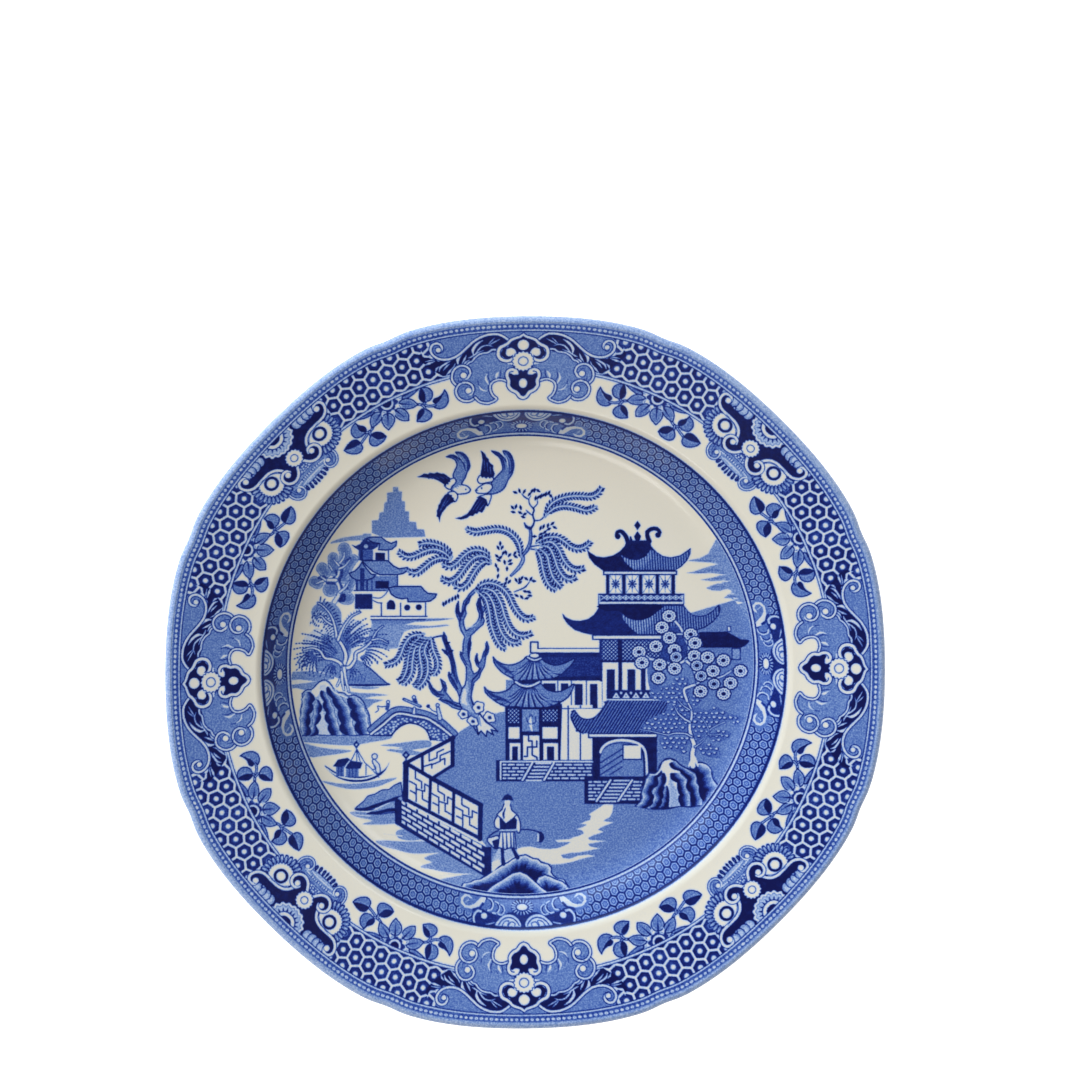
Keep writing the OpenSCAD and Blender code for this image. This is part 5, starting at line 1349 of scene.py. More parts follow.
    # fence: fretwork panels over a brick footing
    g.fill(((407, 765), (452, 740), (452, 765), (431, 778.6), (480.6, 806), (480, 838), (406, 799)), 0.04)
    def panel(x0, y0, x1, y1, drop0, drop1, marks):
        P2 = lambda u, v: (x0 + (x1 - x0) * u, (y0 + (y1 - y0) * u) + v * (drop0 + (drop1 - drop0) * u))
        for m in marks:
            g.line([P2(*q) for q in m], 1.35, 0.9, 0)
    fret = (((0.3, 0), (0.3, 0.24), (0.62, 0.24), (0.62, 0.46)), ((0, 0.44), (0.34, 0.44), (0.34, 0.72)), ((0.34, 0.58), (0.78, 0.5), (0.78, 0.26), (1, 0.26)),
            ((0.05, 0.74), (0.34, 0.74), (0.34, 1)), ((0.66, 0.54), (0.66, 0.8), (1, 0.8)))
    panel(409.6, 768, 429, 778.6, 30, 30, fret)
    panel(432, 781, 452, 792, 28.6, 28.6, fret)
    panel(455.4, 794.6, 477, 805.6, 28, 29, fret)
    panel(424, 756, 450, 742, 14, 21, (((0.2, 0), (0.2, 0.5), (0.5, 0.5), (0.5, 0.2), (0.75, 0.2)), ((0, 0.75), (0.3, 0.75), (0.3, 1)), ((0.3, 0.8), (0.62, 0.76), (0.62, 0.45), (1, 0.45)), ((0.62, 0.7), (0.8, 0.7), (0.8, 1))))
    for pts, w in ((((404.6, 763.6), (452.4, 738.4)), 3.8), (((452.6, 737.4), (452.6, 765.4)), 4.2), (((453, 765), (431.4, 778.8)), 3.2), (((422.2, 754), (422.6, 771)), 2.8),
                   (((405, 762.6), (431.4, 778)), 3.8), (((431, 778), (481, 805)), 4.6), (((480.6, 805), (480, 839)), 4.8), (((404, 798.6), (480, 838.4)), 3.6),
                   (((406, 763), (405.4, 800)), 5.6), (((430.6, 779), (429.4, 810)), 3), (((453.8, 793), (453, 822)), 3)):
        g.line(pts, w, 0.96, 0)
    g.fill(((406, 750.6), (410, 755), (406, 759.6), (402, 755)), 0.92)
    g.dot((406, 755), 1.4, 0.35)
    g.line(((406, 759), (406, 764)), 1.2, 0.92)
    top = lambda x: 799.4 + (x - 401) * 0.557
    bot = lambda x: 823.4 + (x - 401) * 0.625
    g.fill(((394.6, 797), (486, 847), (491.4, 847), (491.4, 878), (486, 877.4), (395, 823.6)), 0.95)
    for k in range(5):
        x = 401.6 + (0 if k % 2 else -5.4)
        while x < 484.4:
            a, b = max(401.6, x), min(484.4, x + 9.2)
            if b - a > 1.6:
                v0, v1 = k / 5 + 0.035, (k + 1) / 5 - 0.045
                q = [(a, top(a) + v0 * (bot(a) - top(a))), (b, top(b) + v0 * (bot(b) - top(b))), (b, top(b) + v1 * (bot(b) - top(b))), (a, top(a) + v1 * (bot(a) - top(a)))]
                g.fill(q, 0.05)
            x += 10.9

    # pavilion in the middle with its two fan roofs
    g.leaf(box(530.6, 642, 538, 652.6), 0.04, edge=1.5, smooth_n=0)
    g.line(((538, 648.4), (545, 648.4)), 0.9, 0.9)
    g.fill(box(532, 649.2, 599, 652.2), 0.03)
    g.fill(((514, 678), (600, 676), (600, 684), (514, 684)), 0.95)
    g.fill(box(541, 680.6, 600, 709), 0.04)
    for x0, x1, y0, y1 in ((543.4, 555.6, 683.4, 692), (561, 568.4, 683.4, 692), (574.8, 582.6, 684, 708.4), (590, 597.4, 684, 708.4)):
        g.fill(box(x0, y0, x1, y1), 0.95)
    for x in (557.8, 571.4, 586.4):
        g.line(((x, 681), (x, 708)), 1.0, 0.85)
    g.line(((560, 708.6), (603, 708.6)), 1.0, 0.9)
    roof1 = ((493.2, 657), (497, 661), (503, 664), (510, 665), (517, 663.4), (523, 660), (527, 656.4), (534, 658), (541, 658.6), (546, 662.4), (553, 665), (560, 664.8), (567, 662), (574.6, 658.6),
             (572, 664), (566, 670), (560, 675.4), (553, 678.4), (545, 679.4), (534, 680), (524, 680.4), (516, 681), (511, 677.6), (503, 673), (497, 667), (494, 662))
    fan_roof(g, roof1, (534, 659), ((506, 672), (512, 678), (519, 680.6), (526, 680.4), (532, 680.2), (539, 680), (546, 679.2), (553, 678), (560, 674.6)))
    g.line(((494, 658.6), (499, 664), (507, 670), (514, 676)), (1.4, 3, 3, 1), 0.82)
    g.line(((527, 657.4), (534, 660.8), (541.4, 658.6)), 3.2, 0.93)
    g.line(((527.6, 657.4), (534, 660.2), (540.8, 658.4)), 1.5, 0.05)
    g.dot((534.4, 655.8), 5.6, 0.93, ry=2.9)
    g.dot((534.4, 655.6), 4.5, 0.04, ry=1.9)
    roof2 = ((484.4, 687), (488, 690.6), (495, 692.6), (502, 692), (509, 689), (515, 683.6), (528, 686), (540, 683.4), (546, 689), (553, 691.4), (560, 691.4), (567, 688.4), (574, 684), (572, 690.4),
             (568, 697), (561, 702), (552, 706), (540, 708.6), (530, 709.4), (518, 706.8), (507, 706.6), (498, 703), (490, 697), (485.4, 692))
    fan_roof(g, roof2, (528, 685.6), ((494, 700), (501, 704.6), (508, 706.6), (515, 706.8), (522, 708), (529, 709), (536, 708.6), (544, 707.6), (552, 705.6), (560, 702)))
    g.line(((485.4, 688.6), (492, 695), (502, 699), (511, 703)), (1.4, 3, 3, 1), 0.84)
    g.line(((515.4, 682), (521, 685.6), (528, 687), (534.6, 685), (540, 681.6)), 4.0, 0.94)
    g.line(((515.8, 682), (521, 685), (528, 686.4), (534.6, 684.4), (539.4, 681.8)), 2.0, 0.04)
    g.fill(box(505.4, 707, 560.4, 761), 0.95)
    g.fill(((505, 706), (520, 707.6), (530, 709.8), (545, 708), (560.6, 703), (560.6, 711), (505, 711)), 0.94)
    g.fill(box(508, 709, 519.4, 723), lattice(0.1, 0.95, 1.0, 0.46))
    g.fill(box(542, 709.6, 557.4, 721.6), lattice(0.1, 0.95, 1.0, 0.46))
    g.fill(box(522.2, 709.4, 538.8, 731.4), 0.46)
    g.line(((530.6, 717), (530.4, 723), (531.8, 730.4)), (0.8, 3.4, 1.8), 0.05)
    g.line(((526.4, 718), (528, 722.6), (530.4, 724)), 0.9, 0.88)
    g.line(((535.4, 717), (535.6, 722), (532, 724)), 0.9, 0.88)
    g.line(((529.4, 717), (530.8, 714.6), (532.6, 716.8)), 0.8, 0.88)
    for x0, x1, y0, y1 in ((508.4, 519.6, 727, 738.8), (542.4, 557.6, 727, 738.8), (509.6, 520.4, 743, 760), (543.4, 558, 743, 760), (523, 539.4, 735.4, 760)):
        g.fill(box(x0, y0, x1, y1), 0.04)
    g.fill(box(512.2, 746.6, 517.8, 760), 0.95)
    g.fill(box(547, 746.6, 554, 760), 0.95)
    for pts in (((528.6, 735.4), (528.6, 741), (532.2, 741), (532.2, 747), (527.4, 747), (527.4, 756.4), (524.4, 756.4)), ((536.8, 741), (536.8, 747), (532.2, 747), (532.2, 755), (537, 757.4), (537, 760))):
        g.line(pts, 1.5, 0.92, 0)
    # white screen wall between it and the gatehouse
    g.fill(box(560.4, 705, 592.6, 760.6), 0.04)
    g.fill(((560.4, 704), (562, 704), (562, 709), (560.4, 760)), 0.93)
    for x in (568.2, 580.4):
        g.line(((x, 706), (x, 760)), 1.3, 0.9)
    g.line(((560.4, 708.6), (603, 708.6)), 1.0, 0.88)
    g.fill(((570, 708.6), (603, 708.6), (603, 715), (592, 720), (576, 718)), 0.04)
    # gatehouse
    gate = ((571.6, 711.6), (574.6, 710.4), (578, 715), (582.4, 718.4), (589, 719.2), (595, 717), (601, 711), (605.4, 704), (608, 700.4), (665, 700.4), (668, 705), (664, 715), (660, 725), (655.4, 733.4),
            (583, 733.4), (576, 728), (571.4, 721), (570.4, 715))
    g.fill(gate, stripes(0.46, 0.92, 0.98, -32, 0.62), 2)
    g.line(list(gate[:9]), 1.1, 0.92)
    g.line(((571, 717), (576, 728), (583, 733.4)), 1.4, 0.93)
    g.line(((606, 699.6), (665, 699.8)), 1.5, 0.05)
    g.fill(box(588, 733, 657.4, 738.2), 0.94)
    g.fill(box(589.4, 734.2, 656.4, 736.8), 0.03)
    g.fill(box(592.4, 738, 657, 778), 0.96)
    inner = ((600, 777), (600, 753), (603, 747), (610, 742.6), (620, 741), (632, 742), (640, 746), (643, 752), (644, 777))
    g.fill(inner, 0.5)
    g.line(((600, 757), (603, 750), (609, 745.4), (618, 743), (630, 743.6), (640, 748)), 1.0, 0.88)
    for k in range(5):
        g.line(((600, 763 + 6 * k), (622, 749 + 6 * k)), 1.3, 0.88, 0)
    g.fill(((600, 777), (600, 781), (644, 781), (644, 760.4), (622.6, 760.4), (622.6, 772)), 0.5)
    g.leaf(box(623, 744.8, 641.6, 759.4), 0.04, edge=1.2, smooth_n=0)
    g.line(((600.4, 752), (603, 747), (609, 742.6), (619, 740.2), (631, 741), (640, 744.6), (644.8, 750.4), (646.4, 760), (647, 775.6)), 2.5, 0.04)
    g.line(((642.4, 750), (643.6, 760), (644, 776)), 1.1, 0.92)
    # terraces
    g.fill(box(496, 760, 592.4, 781.4), 0.95)
    bricks(g, 502.6, 763, 592, 780, ((522.6, 532.4),), rng)
    g.line(((500.6, 779.4), (500.6, 761.6), (592.4, 761.6)), 1.7, 0.05, 0)
    g.fill(box(584.4, 776.4, 647, 804), 0.96)
    bricks(g, 588.2, 780.2, 642, 801, ((596.6, 610.6),), rng)

    # rocks and trees at the right
    rim = ((635, 806.4), (640, 800), (641, 793), (644, 785), (646, 777), (650, 773), (657, 772), (660, 765), (664, 760), (669, 758.4), (675, 760), (680, 764.6), (686, 768), (692, 769),
           (694, 764), (699, 762.4), (706, 764), (711, 770), (713, 778), (717, 784), (720, 786))
    g.fill([tuple(p) for p in curve(rim, 4)] + [(712, 793), (706, 800), (700, 806.6), (690, 807.8), (680, 807), (668, 809.6), (655, 810), (645, 808.6)], 0.94)
    g.fill(((661, 769), (664, 762), (670, 759.4), (676, 762), (682, 767.4), (690, 771), (690, 800), (668, 800), (664, 785), (663, 774)), 0.05)
    for dark, light, n in ((((663, 809), (668, 805), (668.4, 795), (667.6, 785)), ((657.4, 806.6), (660.4, 801), (662.6, 795), (665, 787)), 1),
                           (((653, 810), (660, 804.6), (663, 797), (661, 790), (665, 783), (664.4, 772)), ((647, 808), (653, 801), (652.6, 791), (656, 785), (658, 778)), 3),
                           (((644, 808.6), (652, 803), (653.4, 796.6), (650.6, 791), (656.6, 785), (657.6, 777)), ((636, 806), (642.6, 799.6), (641.6, 791), (645.6, 782), (650, 773.4)), 3)):
        finger(g, dark, light, n)
    g.fill(((668.4, 784), (671, 774), (674, 784), (677.6, 789), (678.6, 797), (680.4, 806), (669, 807.4), (669.6, 796)), 0.28)
    g.line(((669.6, 786), (670, 796), (669.4, 806)), 1.0, 0.1)
    g.line(((672, 782), (676.6, 789), (677.6, 797), (679.6, 806)), 0.9, 0.12)
    for dark, light, n in ((((670, 773), (672.4, 779), (677, 783.4), (678.8, 790), (679.2, 798), (681.4, 806.6)), ((680, 773), (686.6, 780.4), (686, 788), (690, 795), (690.4, 806)), 3),
                           (((668.6, 763.6), (673.4, 768), (680.6, 772), (687, 778), (687.4, 787), (691, 795.6), (692, 806)), ((675.4, 760.6), (683.6, 767), (691, 771.6), (697, 777), (696.2, 783), (700.4, 789), (702, 797), (703, 805)), 4),
                           (((695, 772), (698, 778.6), (698.6, 786), (700.4, 793), (702.6, 801)), ((701, 763.4), (709.4, 766.6), (713, 775), (716.4, 782), (719, 788), (709, 798)), 2)):
        finger(g, dark, light, n)
    g.line(rim, 1.3, 0.92)
    g.line(((650, 774.4), (656, 774.4), (661, 769), (664, 763), (670, 760.4)), (1.2, 1.6, 2.2, 3, 2.4), 0.06)
    g.line(((694.4, 769), (696.6, 765), (701, 764), (707, 766), (711, 771)), (0.8, 1.6, 1.8, 1.6, 1.0), 0.12)
    # leaf sprays
    sprays = (((655, 690), (664, 686), (672, 684), (676, 678), (688, 678), (690, 694), (684, 702), (672, 703), (660, 700), (650, 697)),
              ((646, 722), (656, 716), (666, 712), (672, 704), (688, 706), (690, 716), (688, 732), (672, 733), (658, 732), (642, 731)),
              ((660, 738), (672, 737), (690, 738), (688, 744), (684, 754), (677, 752), (662, 747)),
              ((693, 690), (706, 690), (702, 700), (697, 706), (692, 704)),
              ((693, 708), (706, 711), (716, 707), (724, 711), (734, 715), (744, 718), (736, 724), (728, 720), (718, 722), (710, 730), (702, 737), (694, 742)),
              ((708, 736), (716, 731), (726, 730), (732, 735), (726, 740), (714, 741)), ((698, 746), (708, 743), (718, 749), (722, 757), (712, 758), (702, 754)))
    from_px = lambda p: (min(q[0] for q in p), min(q[1] for q in p), max(q[0] for q in p), max(q[1] for q in p))
    for poly in sprays:
        c = np.mean(np.asarray(poly, float), axis=0)
        g.fill([(c[0] + (x - c[0]) * 1.02, c[1] + (y - c[1]) * 1.02) for x, y in poly], 0.6, 2)
    for poly in sprays:
        q = np.asarray(poly, float)
        x0, y0, x1, y1 = from_px(poly)
        for iy, y in enumerate(np.arange(y0 + 1.4, y1, 4.5)):
            for x in np.arange(x0 + (2.7 if iy % 2 else 0.3), x1, 5.4):
                px, py = x + rng.uniform(-0.8, 0.8), y + rng.uniform(-0.7, 0.7)
                inside, j = False, len(q) - 1
                for i in range(len(q)):
                    if (q[i, 1] > py) != (q[j, 1] > py) and px < (q[j, 0] - q[i, 0]) * (py - q[i, 1]) / (q[j, 1] - q[i, 1]) + q[i, 0]:
                        inside = not inside
                    j = i
                if not inside:
                    continue
                a, k = rng.uniform(-0.5, 0.5), rng.uniform(0.85, 1.15)
                tri = [(px + 2.9 * k * math.cos(a + t), py + 2.3 * k * math.sin(a + t)) for t in (1.57, 3.4, 6.0)]
                g.fill(tri, 0.86, 2)
                g.fill([(px - 0.3 + (u - px) * 0.62, py - 0.2 + (v - py) * 0.6) for u, v in tri], 0.1, 2)
    for pts, w in ((((700, 741), (707, 735), (711, 729), (718, 725), (725, 722)), 1.3), (((708, 734), (714, 735), (722, 734)), 1.0), (((709, 731), (706, 724), (702, 718)), 1.0)):
        g.line(pts, w + 1.4, 0.88)
        g.line(pts, w, 0.3)
    trunk = ((693, 766), (692.4, 754), (694, 745), (691.4, 737), (689.6, 727), (691.6, 717), (691, 709), (687.4, 702), (684, 697))
    for pts, w in ((trunk, (7, 6.2, 5.8, 5.2, 4.4, 4, 3.6, 3, 2.4)), (((692, 737), (685, 733.6), (674, 733.4), (668, 735), (660, 733.4), (650, 731), (640, 729.4)), (3.2, 3, 3, 2.8, 2.6, 2.2, 1.4)),
                   (((690, 722), (684, 718.6), (678, 713), (674.4, 706)), (3.6, 3.4, 3, 1.6)), (((690, 710), (682.6, 705), (677.4, 698.6)), (3, 2.6, 1.4)),
                   (((695, 747), (702, 742), (706, 737)), (3, 2.4, 1.6))):
        g.line(pts, w, 0.9)
        g.line(pts, [max(0.6, q - 1.9) for q in w], 0.05)
    g.line(((693, 757), (689, 766)), (3, 2), 0.05)
    g.line(((694, 757), (698, 766)), (3, 2), 0.05)
    # flowering branch in front of the pagoda
    g.fill(((661, 642), (663, 632), (672, 626), (682, 630), (688, 640), (690, 652), (686, 661), (672, 664), (661, 660)), 0.78, 3)
    g.fill(((648, 662), (661, 660), (661, 690), (650, 690)), 0.6, 3)
    for pts, w in ((((674, 620), (680.6, 628), (684.4, 637), (688.6, 646), (688.4, 655), (684, 661), (677, 663.6), (668, 663), (660, 660), (650, 659), (645, 655)), 2.3),
                   (((684, 634), (676, 634), (668, 632)), 1.6), (((686.4, 661), (692.4, 667), (695.6, 675), (697, 683.4), (690, 686.4), (684, 690), (687, 701)), 2.5),
                   (((697, 683.6), (705, 679), (715, 678.4), (723, 676), (731, 671)), 1.6), (((688, 652), (694, 649), (702, 645)), 1.4), (((664, 662.6), (660, 668), (661, 674)), 1.3)):
        g.line(pts, w + 1.7, 0.9)
        g.line(pts, w, 0.1)
    for x, y in ((669, 616), (662, 627.4), (669.6, 637.8), (690.6, 634.4), (695, 643), (655.8, 646.4), (639, 652), (674.4, 650), (676, 657), (642, 662.6), (723.4, 660.4), (740.6, 671), (694.4, 656),
                 (707.6, 657.4), (697, 665.6), (713, 671), (674.6, 668.6), (659.6, 664.6), (658.4, 678), (730.4, 683), (714, 684), (700.6, 691.4), (723.6, 693.8), (701, 676)):
        blossom(g, x, y, 6.6 if (x, y) not in ((676, 657), (697, 665.6), (714, 684), (701, 676)) else 5.6)

    # bottom mounds
    crag(g, ((462, 887), (463, 884.4), (470, 883.4), (474, 881), (480, 880), (487, 876), (491, 873), (497, 869), (503, 865), (508, 863), (513, 859.4), (519, 856.4), (526, 855.4), (533, 859),
             (538, 859.6), (541, 863), (548, 864.6), (551, 868), (550.4, 872), (553, 876), (557, 879), (564, 880.4), (566, 884), (569, 888)), ((569, 892), (545, 896), (520, 897), (480, 894), (460, 890)), rng)
    crag(g, ((536, 884), (539, 877.6), (545, 875.4), (550, 877), (556, 880), (562, 882), (568, 887)), ((560, 892), (548, 894), (534, 893)), rng)
    crag(g, ((486, 893), (492, 887), (498, 883), (503, 880), (508, 876.4), (513, 873.4), (520, 872), (527, 875), (532, 879.6), (537, 884), (541, 888), (547, 892.6)), ((540, 897), (520, 899), (495, 897)), rng)

    # a carrier with a yoke, back to us
    for pts, w in ((((489, 836), (495, 832), (501, 830.4), (518, 829.4), (530, 829.8), (541, 832.6)), 1.4), (((489, 835.6), (489.4, 839)), 1.2), (((541, 832), (541, 835)), 1.2)):
        g.line(pts, w, 0.92)
    g.leaf(((487.6, 838), (492, 837), (498.6, 836), (499, 847), (495, 848.6), (490.6, 845), (487.4, 841)), 0.1, edge=1.2, smooth_n=3)
    g.fill(((492, 841), (499, 838.6), (499, 848.8), (494.4, 848.8)), 0.94)
    g.dot((540.4, 837.4), 3.8, 0.94, ry=5.4)
    g.line(((538.2, 834.4), (538, 840.6)), 2.0, 0.06)
    g.fill(((491.6, 862), (499, 859), (501, 864), (494, 871), (491.6, 872)), 0.06)
    for pts, w in ((((502.4, 847), (502.6, 856), (503.4, 864)), (3.6, 3.2, 4)), (((512, 847), (514.6, 852), (517.4, 857.4)), (3.4, 3.4, 4.4))):
        g.line(pts, w, 0.93)
    g.leaf(((500, 832), (514.6, 832), (516.4, 848.6), (511, 847.6), (505, 849.4), (498, 847.4)), 0.06, edge=1.2, smooth_n=0)
    for x in (502.6, 506.4, 510.6, 513.4):
        g.line(((x, 833), (x + 0.6, 848)), (0.8, 1.9), 0.86, 0)
    g.leaf(((498, 815), (494.8, 820), (494.6, 826), (498, 829), (501.6, 828), (502, 820)), 0.05, edge=1.2, smooth_n=3)
    g.leaf(((514, 812.6), (518.4, 816.8), (520.6, 825), (519.4, 833), (516, 829.6), (514, 820)), 0.05, edge=1.2, smooth_n=3)
    g.fill(((499.4, 816), (505, 822), (512.6, 815), (517, 820), (516.4, 829.4), (500, 829.4)), 0.96)
    g.leaf(((504, 804), (510, 804), (512, 810.6), (517, 814.4), (512.4, 819), (505.6, 824), (501.4, 818.6), (496.6, 814.6), (502, 809.6)), 0.05, edge=1.1, smooth_n=0)
    g.line(((505.4, 808), (503.4, 814), (504, 818)), (0.8, 2.2, 1.4), 0.9)
    g.dot((507.4, 802.4), 3.0, 0.1, ry=4.2)
    g.line(((500, 830.4), (517, 829.8)), 1.6, 0.25)
    g.fill(((501.4, 800.4), (504, 796), (508, 793.8), (511.6, 796), (513.8, 800.6), (508, 800)), 0.95)


# Mean radii of the border's lines, mm
R_LINE, R_BEAD, R_LIP = 126.3, 128.1, 129.1
R_CHORD, R_ROW0 = 111.5, 120.6
# == pieces ==


# Every skin is one closed piece: a fine upper side, which carries the ink, a coarser
# side on the clay beneath it, and a narrow wall all round.
def shape(name, verts, faces, ink=None, flat=None, keen=None):
    me = bpy.data.meshes.new(name)
    v = np.asarray(verts, np.float32)
    n4 = [np.asarray(f, np.int32) for f in faces if isinstance(f, np.ndarray)]
    loose = [f for f in faces if not isinstance(f, np.ndarray)]
    sizes = np.concatenate([np.full(len(a), a.shape[1], np.int32) for a in n4] + [np.array([len(f) for f in loose], np.int32)])
    loops = np.concatenate([a.ravel() for a in n4] + ([np.concatenate([np.asarray(f, np.int32) for f in loose])] if loose else []))
    me.vertices.add(len(v))
    me.vertices.foreach_set("co", (v / 1000).ravel())
    me.loops.add(len(loops))
    me.loops.foreach_set("vertex_index", loops.astype(np.int32))
    me.polygons.add(len(sizes))
    starts = np.concatenate([[0], np.cumsum(sizes)[:-1]]).astype(np.int32)
    me.polygons.foreach_set("loop_start", starts)
    me.update(calc_edges=True)
    me.validate()
    smoothed = np.ones(len(me.polygons), bool)
    if flat is not None:
        smoothed[flat] = False
    me.polygons.foreach_set("use_smooth", smoothed)
    if keen is not None:      # keen: vertex mask, an edge with both ends in it stays sharp
        e = np.zeros(len(me.edges) * 2, np.int32)
        me.edges.foreach_get("vertices", e)
        e = keen[e.reshape(-1, 2)]
        a = me.attributes.new("sharp_edge", "BOOLEAN", "EDGE")
        a.data.foreach_set("value", e[:, 0] & e[:, 1])
    if ink is not None:
        a = me.attributes.new("ink", "FLOAT", "POINT")
        a.data.foreach_set("value", np.asarray(ink, np.float32))
    ob = bpy.data.objects.new(name, me)
    bpy.context.scene.collection.objects.link(ob)
    return ob


def place(R, z, th):
    """Points of a profile at angles, with the lobes in them."""
    R, z, th = np.broadcast_arrays(R, z, th)
    q = R + follow(R) * swing(th)
    return np.stack([q * np.cos(th), q * np.sin(th), z], axis=-1)


def face_pt(r, d):
    a = slope(r)
    return r - d * np.sin(a), face_z(r) + d * np.cos(a)


def lip_pt(a, d):
    return LIP_C + (LIP_R + d) * np.cos(a), CLAY_TOP - LIP_R + (LIP_R + d) * np.sin(a)


def skin(name, top, clay, ink, every=4):
    """One patch of the printed and glazed face, from its grid of upper and lower points."""
    nr, nt = top.shape[0], top.shape[1] - 1
    ri = sorted(set(list(range(0, nr, every)) + [nr - 1]))
    ti = sorted(set(list(range(0, nt + 1, every)) + [nt]))
    V, W = top.reshape(-1, 3), clay[np.ix_(ri, ti)].reshape(-1, 3)
    I, J = np.meshgrid(np.arange(nr - 1), np.arange(nt), indexing="ij")
    k = (I * (nt + 1) + J).ravel()
    up = np.stack([k, k + nt + 1, k + nt + 2, k + 1], axis=1)
    base, m, n = len(V), len(ri), len(ti)
    I, J = np.meshgrid(np.arange(m - 1), np.arange(n - 1), indexing="ij")
    k = (base + I * n + J).ravel()
    dn = np.stack([k, k + 1, k + n + 1, k + n], axis=1)
    side = []
    for a in range(m - 1):
        f = list(range(ri[a], ri[a + 1] + 1))
        side.append([i * (nt + 1) for i in f][::-1] + [base + a * n, base + (a + 1) * n])
        side.append([i * (nt + 1) + nt for i in f] + [base + (a + 1) * n + n - 1, base + a * n + n - 1])
    for b in range(n - 1):
        f = list(range(ti[b], ti[b + 1] + 1))
        side.append(f + [base + b + 1, base + b])
        side.append([(nr - 1) * (nt + 1) + j for j in f][::-1] + [base + (m - 1) * n + b, base + (m - 1) * n + b + 1])
    nu = len(up)
    ink = np.concatenate([ink.ravel(), np.zeros(len(W))])
    keen = np.ones((nr, nt + 1), bool)
    keen[1:-1, 1:-1] = False
    keen = np.concatenate([keen.ravel(), np.ones(len(W), bool)])
    return shape(name, np.vstack([V, W]), [up, dn] + side, ink, np.arange(nu, nu + len(dn) + len(side)), keen)


def ring_skin(name, r0, r1, step, th0, th1, nt, ink_of, lip_to=None):
    """A sector of the face between two radii, and on round the lip if asked."""
    r = np.linspace(r0, r1, int(round((r1 - r0) / step)) + 1)
    th = np.linspace(th0, th1, nt + 1)[None, :]
    grids = []
    for d in (GLAZE, 0.0):
        R, z = face_pt(r, d)
        if lip_to is not None:
            Rl, zl = lip_pt(np.radians(np.linspace(90 + np.degrees(float(slope(LIP_C))), lip_to, 23)[1:]), d)
            R, z = np.concatenate([R, Rl]), np.concatenate([z, zl])
        grids.append(place(R[:, None], z[:, None], th))
    if lip_to is not None:
        r = np.concatenate([r, LIP_C + np.linspace(0, 3.2, 23)[1:]])
    ink = ink_of((r[:, None] * np.cos(th)).ravel(), (r[:, None] * np.sin(th)).ravel())
    return skin(name, grids[0], grids[1], ink)


def disc_skin(name, r1, n, th0, ink_of):
    """A quarter of the floor of the plate, as one even grid from the centre to a radius."""
    u = np.linspace(0, 1, n + 1)
    U, V = np.meshgrid(u, u, indexing="ij")
    big = np.maximum(U, V)
    t = np.where(U >= V, V / np.maximum(U, 1e-9), 2 - U / np.maximum(V, 1e-9)) * math.pi / 4
    t = np.where(big < 1e-9, 0, t) + th0
    r = big * r1
    grids = []
    for d in (GLAZE, 0.0):
        R, z = face_pt(r, d)
        grids.append(np.stack([R * np.cos(t), R * np.sin(t), z], axis=-1))
    ink = ink_of((r * np.cos(t)).ravel(), (r * np.sin(t)).ravel())
    return skin(name, grids[0], grids[1], ink)


def turned(name, section, nt):
    """A body turned round the axis from its section: out along the top, back along the underside."""
    th = np.linspace(0, 2 * np.pi, nt, endpoint=False)
    on_axis = section[0][0] < 1e-6
    ring = [p for p in section if p[0] > 1e-6]
    m = len(ring)
    V = np.concatenate([place(np.array([R]), np.array([z]), th) for R, z in ring])
    j = np.arange(nt)
    faces = []
    for a in range(m - 1 if on_axis else m):
        b = (a + 1) % m
        faces.append(np.stack([a * nt + j, b * nt + j, b * nt + (j + 1) % nt, a * nt + (j + 1) % nt], axis=1))
    if on_axis:
        n0, e = len(V), (m - 1) * nt
        V = np.vstack([V, [[0, 0, section[0][1]], [0, 0, section[-1][1]]]])
        faces.append(np.stack([np.full(nt, n0), j, (j + 1) % nt], axis=1))
        faces.append(np.stack([np.full(nt, n0 + 1), e + (j + 1) % nt, e + j], axis=1))
    return shape(name, V, faces)


# ---- materials ----
def socket(node, *names):
    for n in names:
        if n in node.inputs:
            return node.inputs[n]
    raise KeyError(names)


def new_material(name):
    m = bpy.data.materials.new(name)
    m.use_nodes = True
    nt = m.node_tree
    nt.nodes.clear()
    out = nt.nodes.new("ShaderNodeOutputMaterial")
    sh = nt.nodes.new("ShaderNodeBsdfPrincipled")
    nt.links.new(sh.outputs[0], out.inputs["Surface"])
    return m, nt, sh


def lin(c):
    c = [x / 255 for x in c]
    return tuple([x / 12.92 if x <= 0.04045 else ((x + 0.055) / 1.055) ** 2.4 for x in c] + [1.0])


def noise(nt, scale, detail=2.0, rough=0.5, space=None):
    n = nt.nodes.new("ShaderNodeTexNoise")
    n.inputs["Scale"].default_value = scale
    n.inputs["Detail"].default_value = detail
    n.inputs["Roughness"].default_value = rough
    nt.links.new(space.outputs["Object"], n.inputs["Vector"])
    return n.outputs["Fac"]


def math_node(nt, op, a, b=None, clamp=False):
    n = nt.nodes.new("ShaderNodeMath")
    n.operation = op
    n.use_clamp = clamp
    for i, v in enumerate((a, b)):
        if v is None:
            continue
        if isinstance(v, (int, float)):
            n.inputs[i].default_value = v
        else:
            nt.links.new(v, n.inputs[i])
    return n.outputs[0]


def ramp(nt, fac, stops, mode="LINEAR"):
    n = nt.nodes.new("ShaderNodeValToRGB")
    n.color_ramp.interpolation = mode
    e = n.color_ramp.elements
    while len(e) > 1:
        e.remove(e[-1])
    e[0].position, e[0].color = stops[0][0], stops[0][1]
    for pos, col in stops[1:]:
        q = e.new(pos)
        q.color = col
    nt.links.new(fac, n.inputs[0])
    return n.outputs[0]


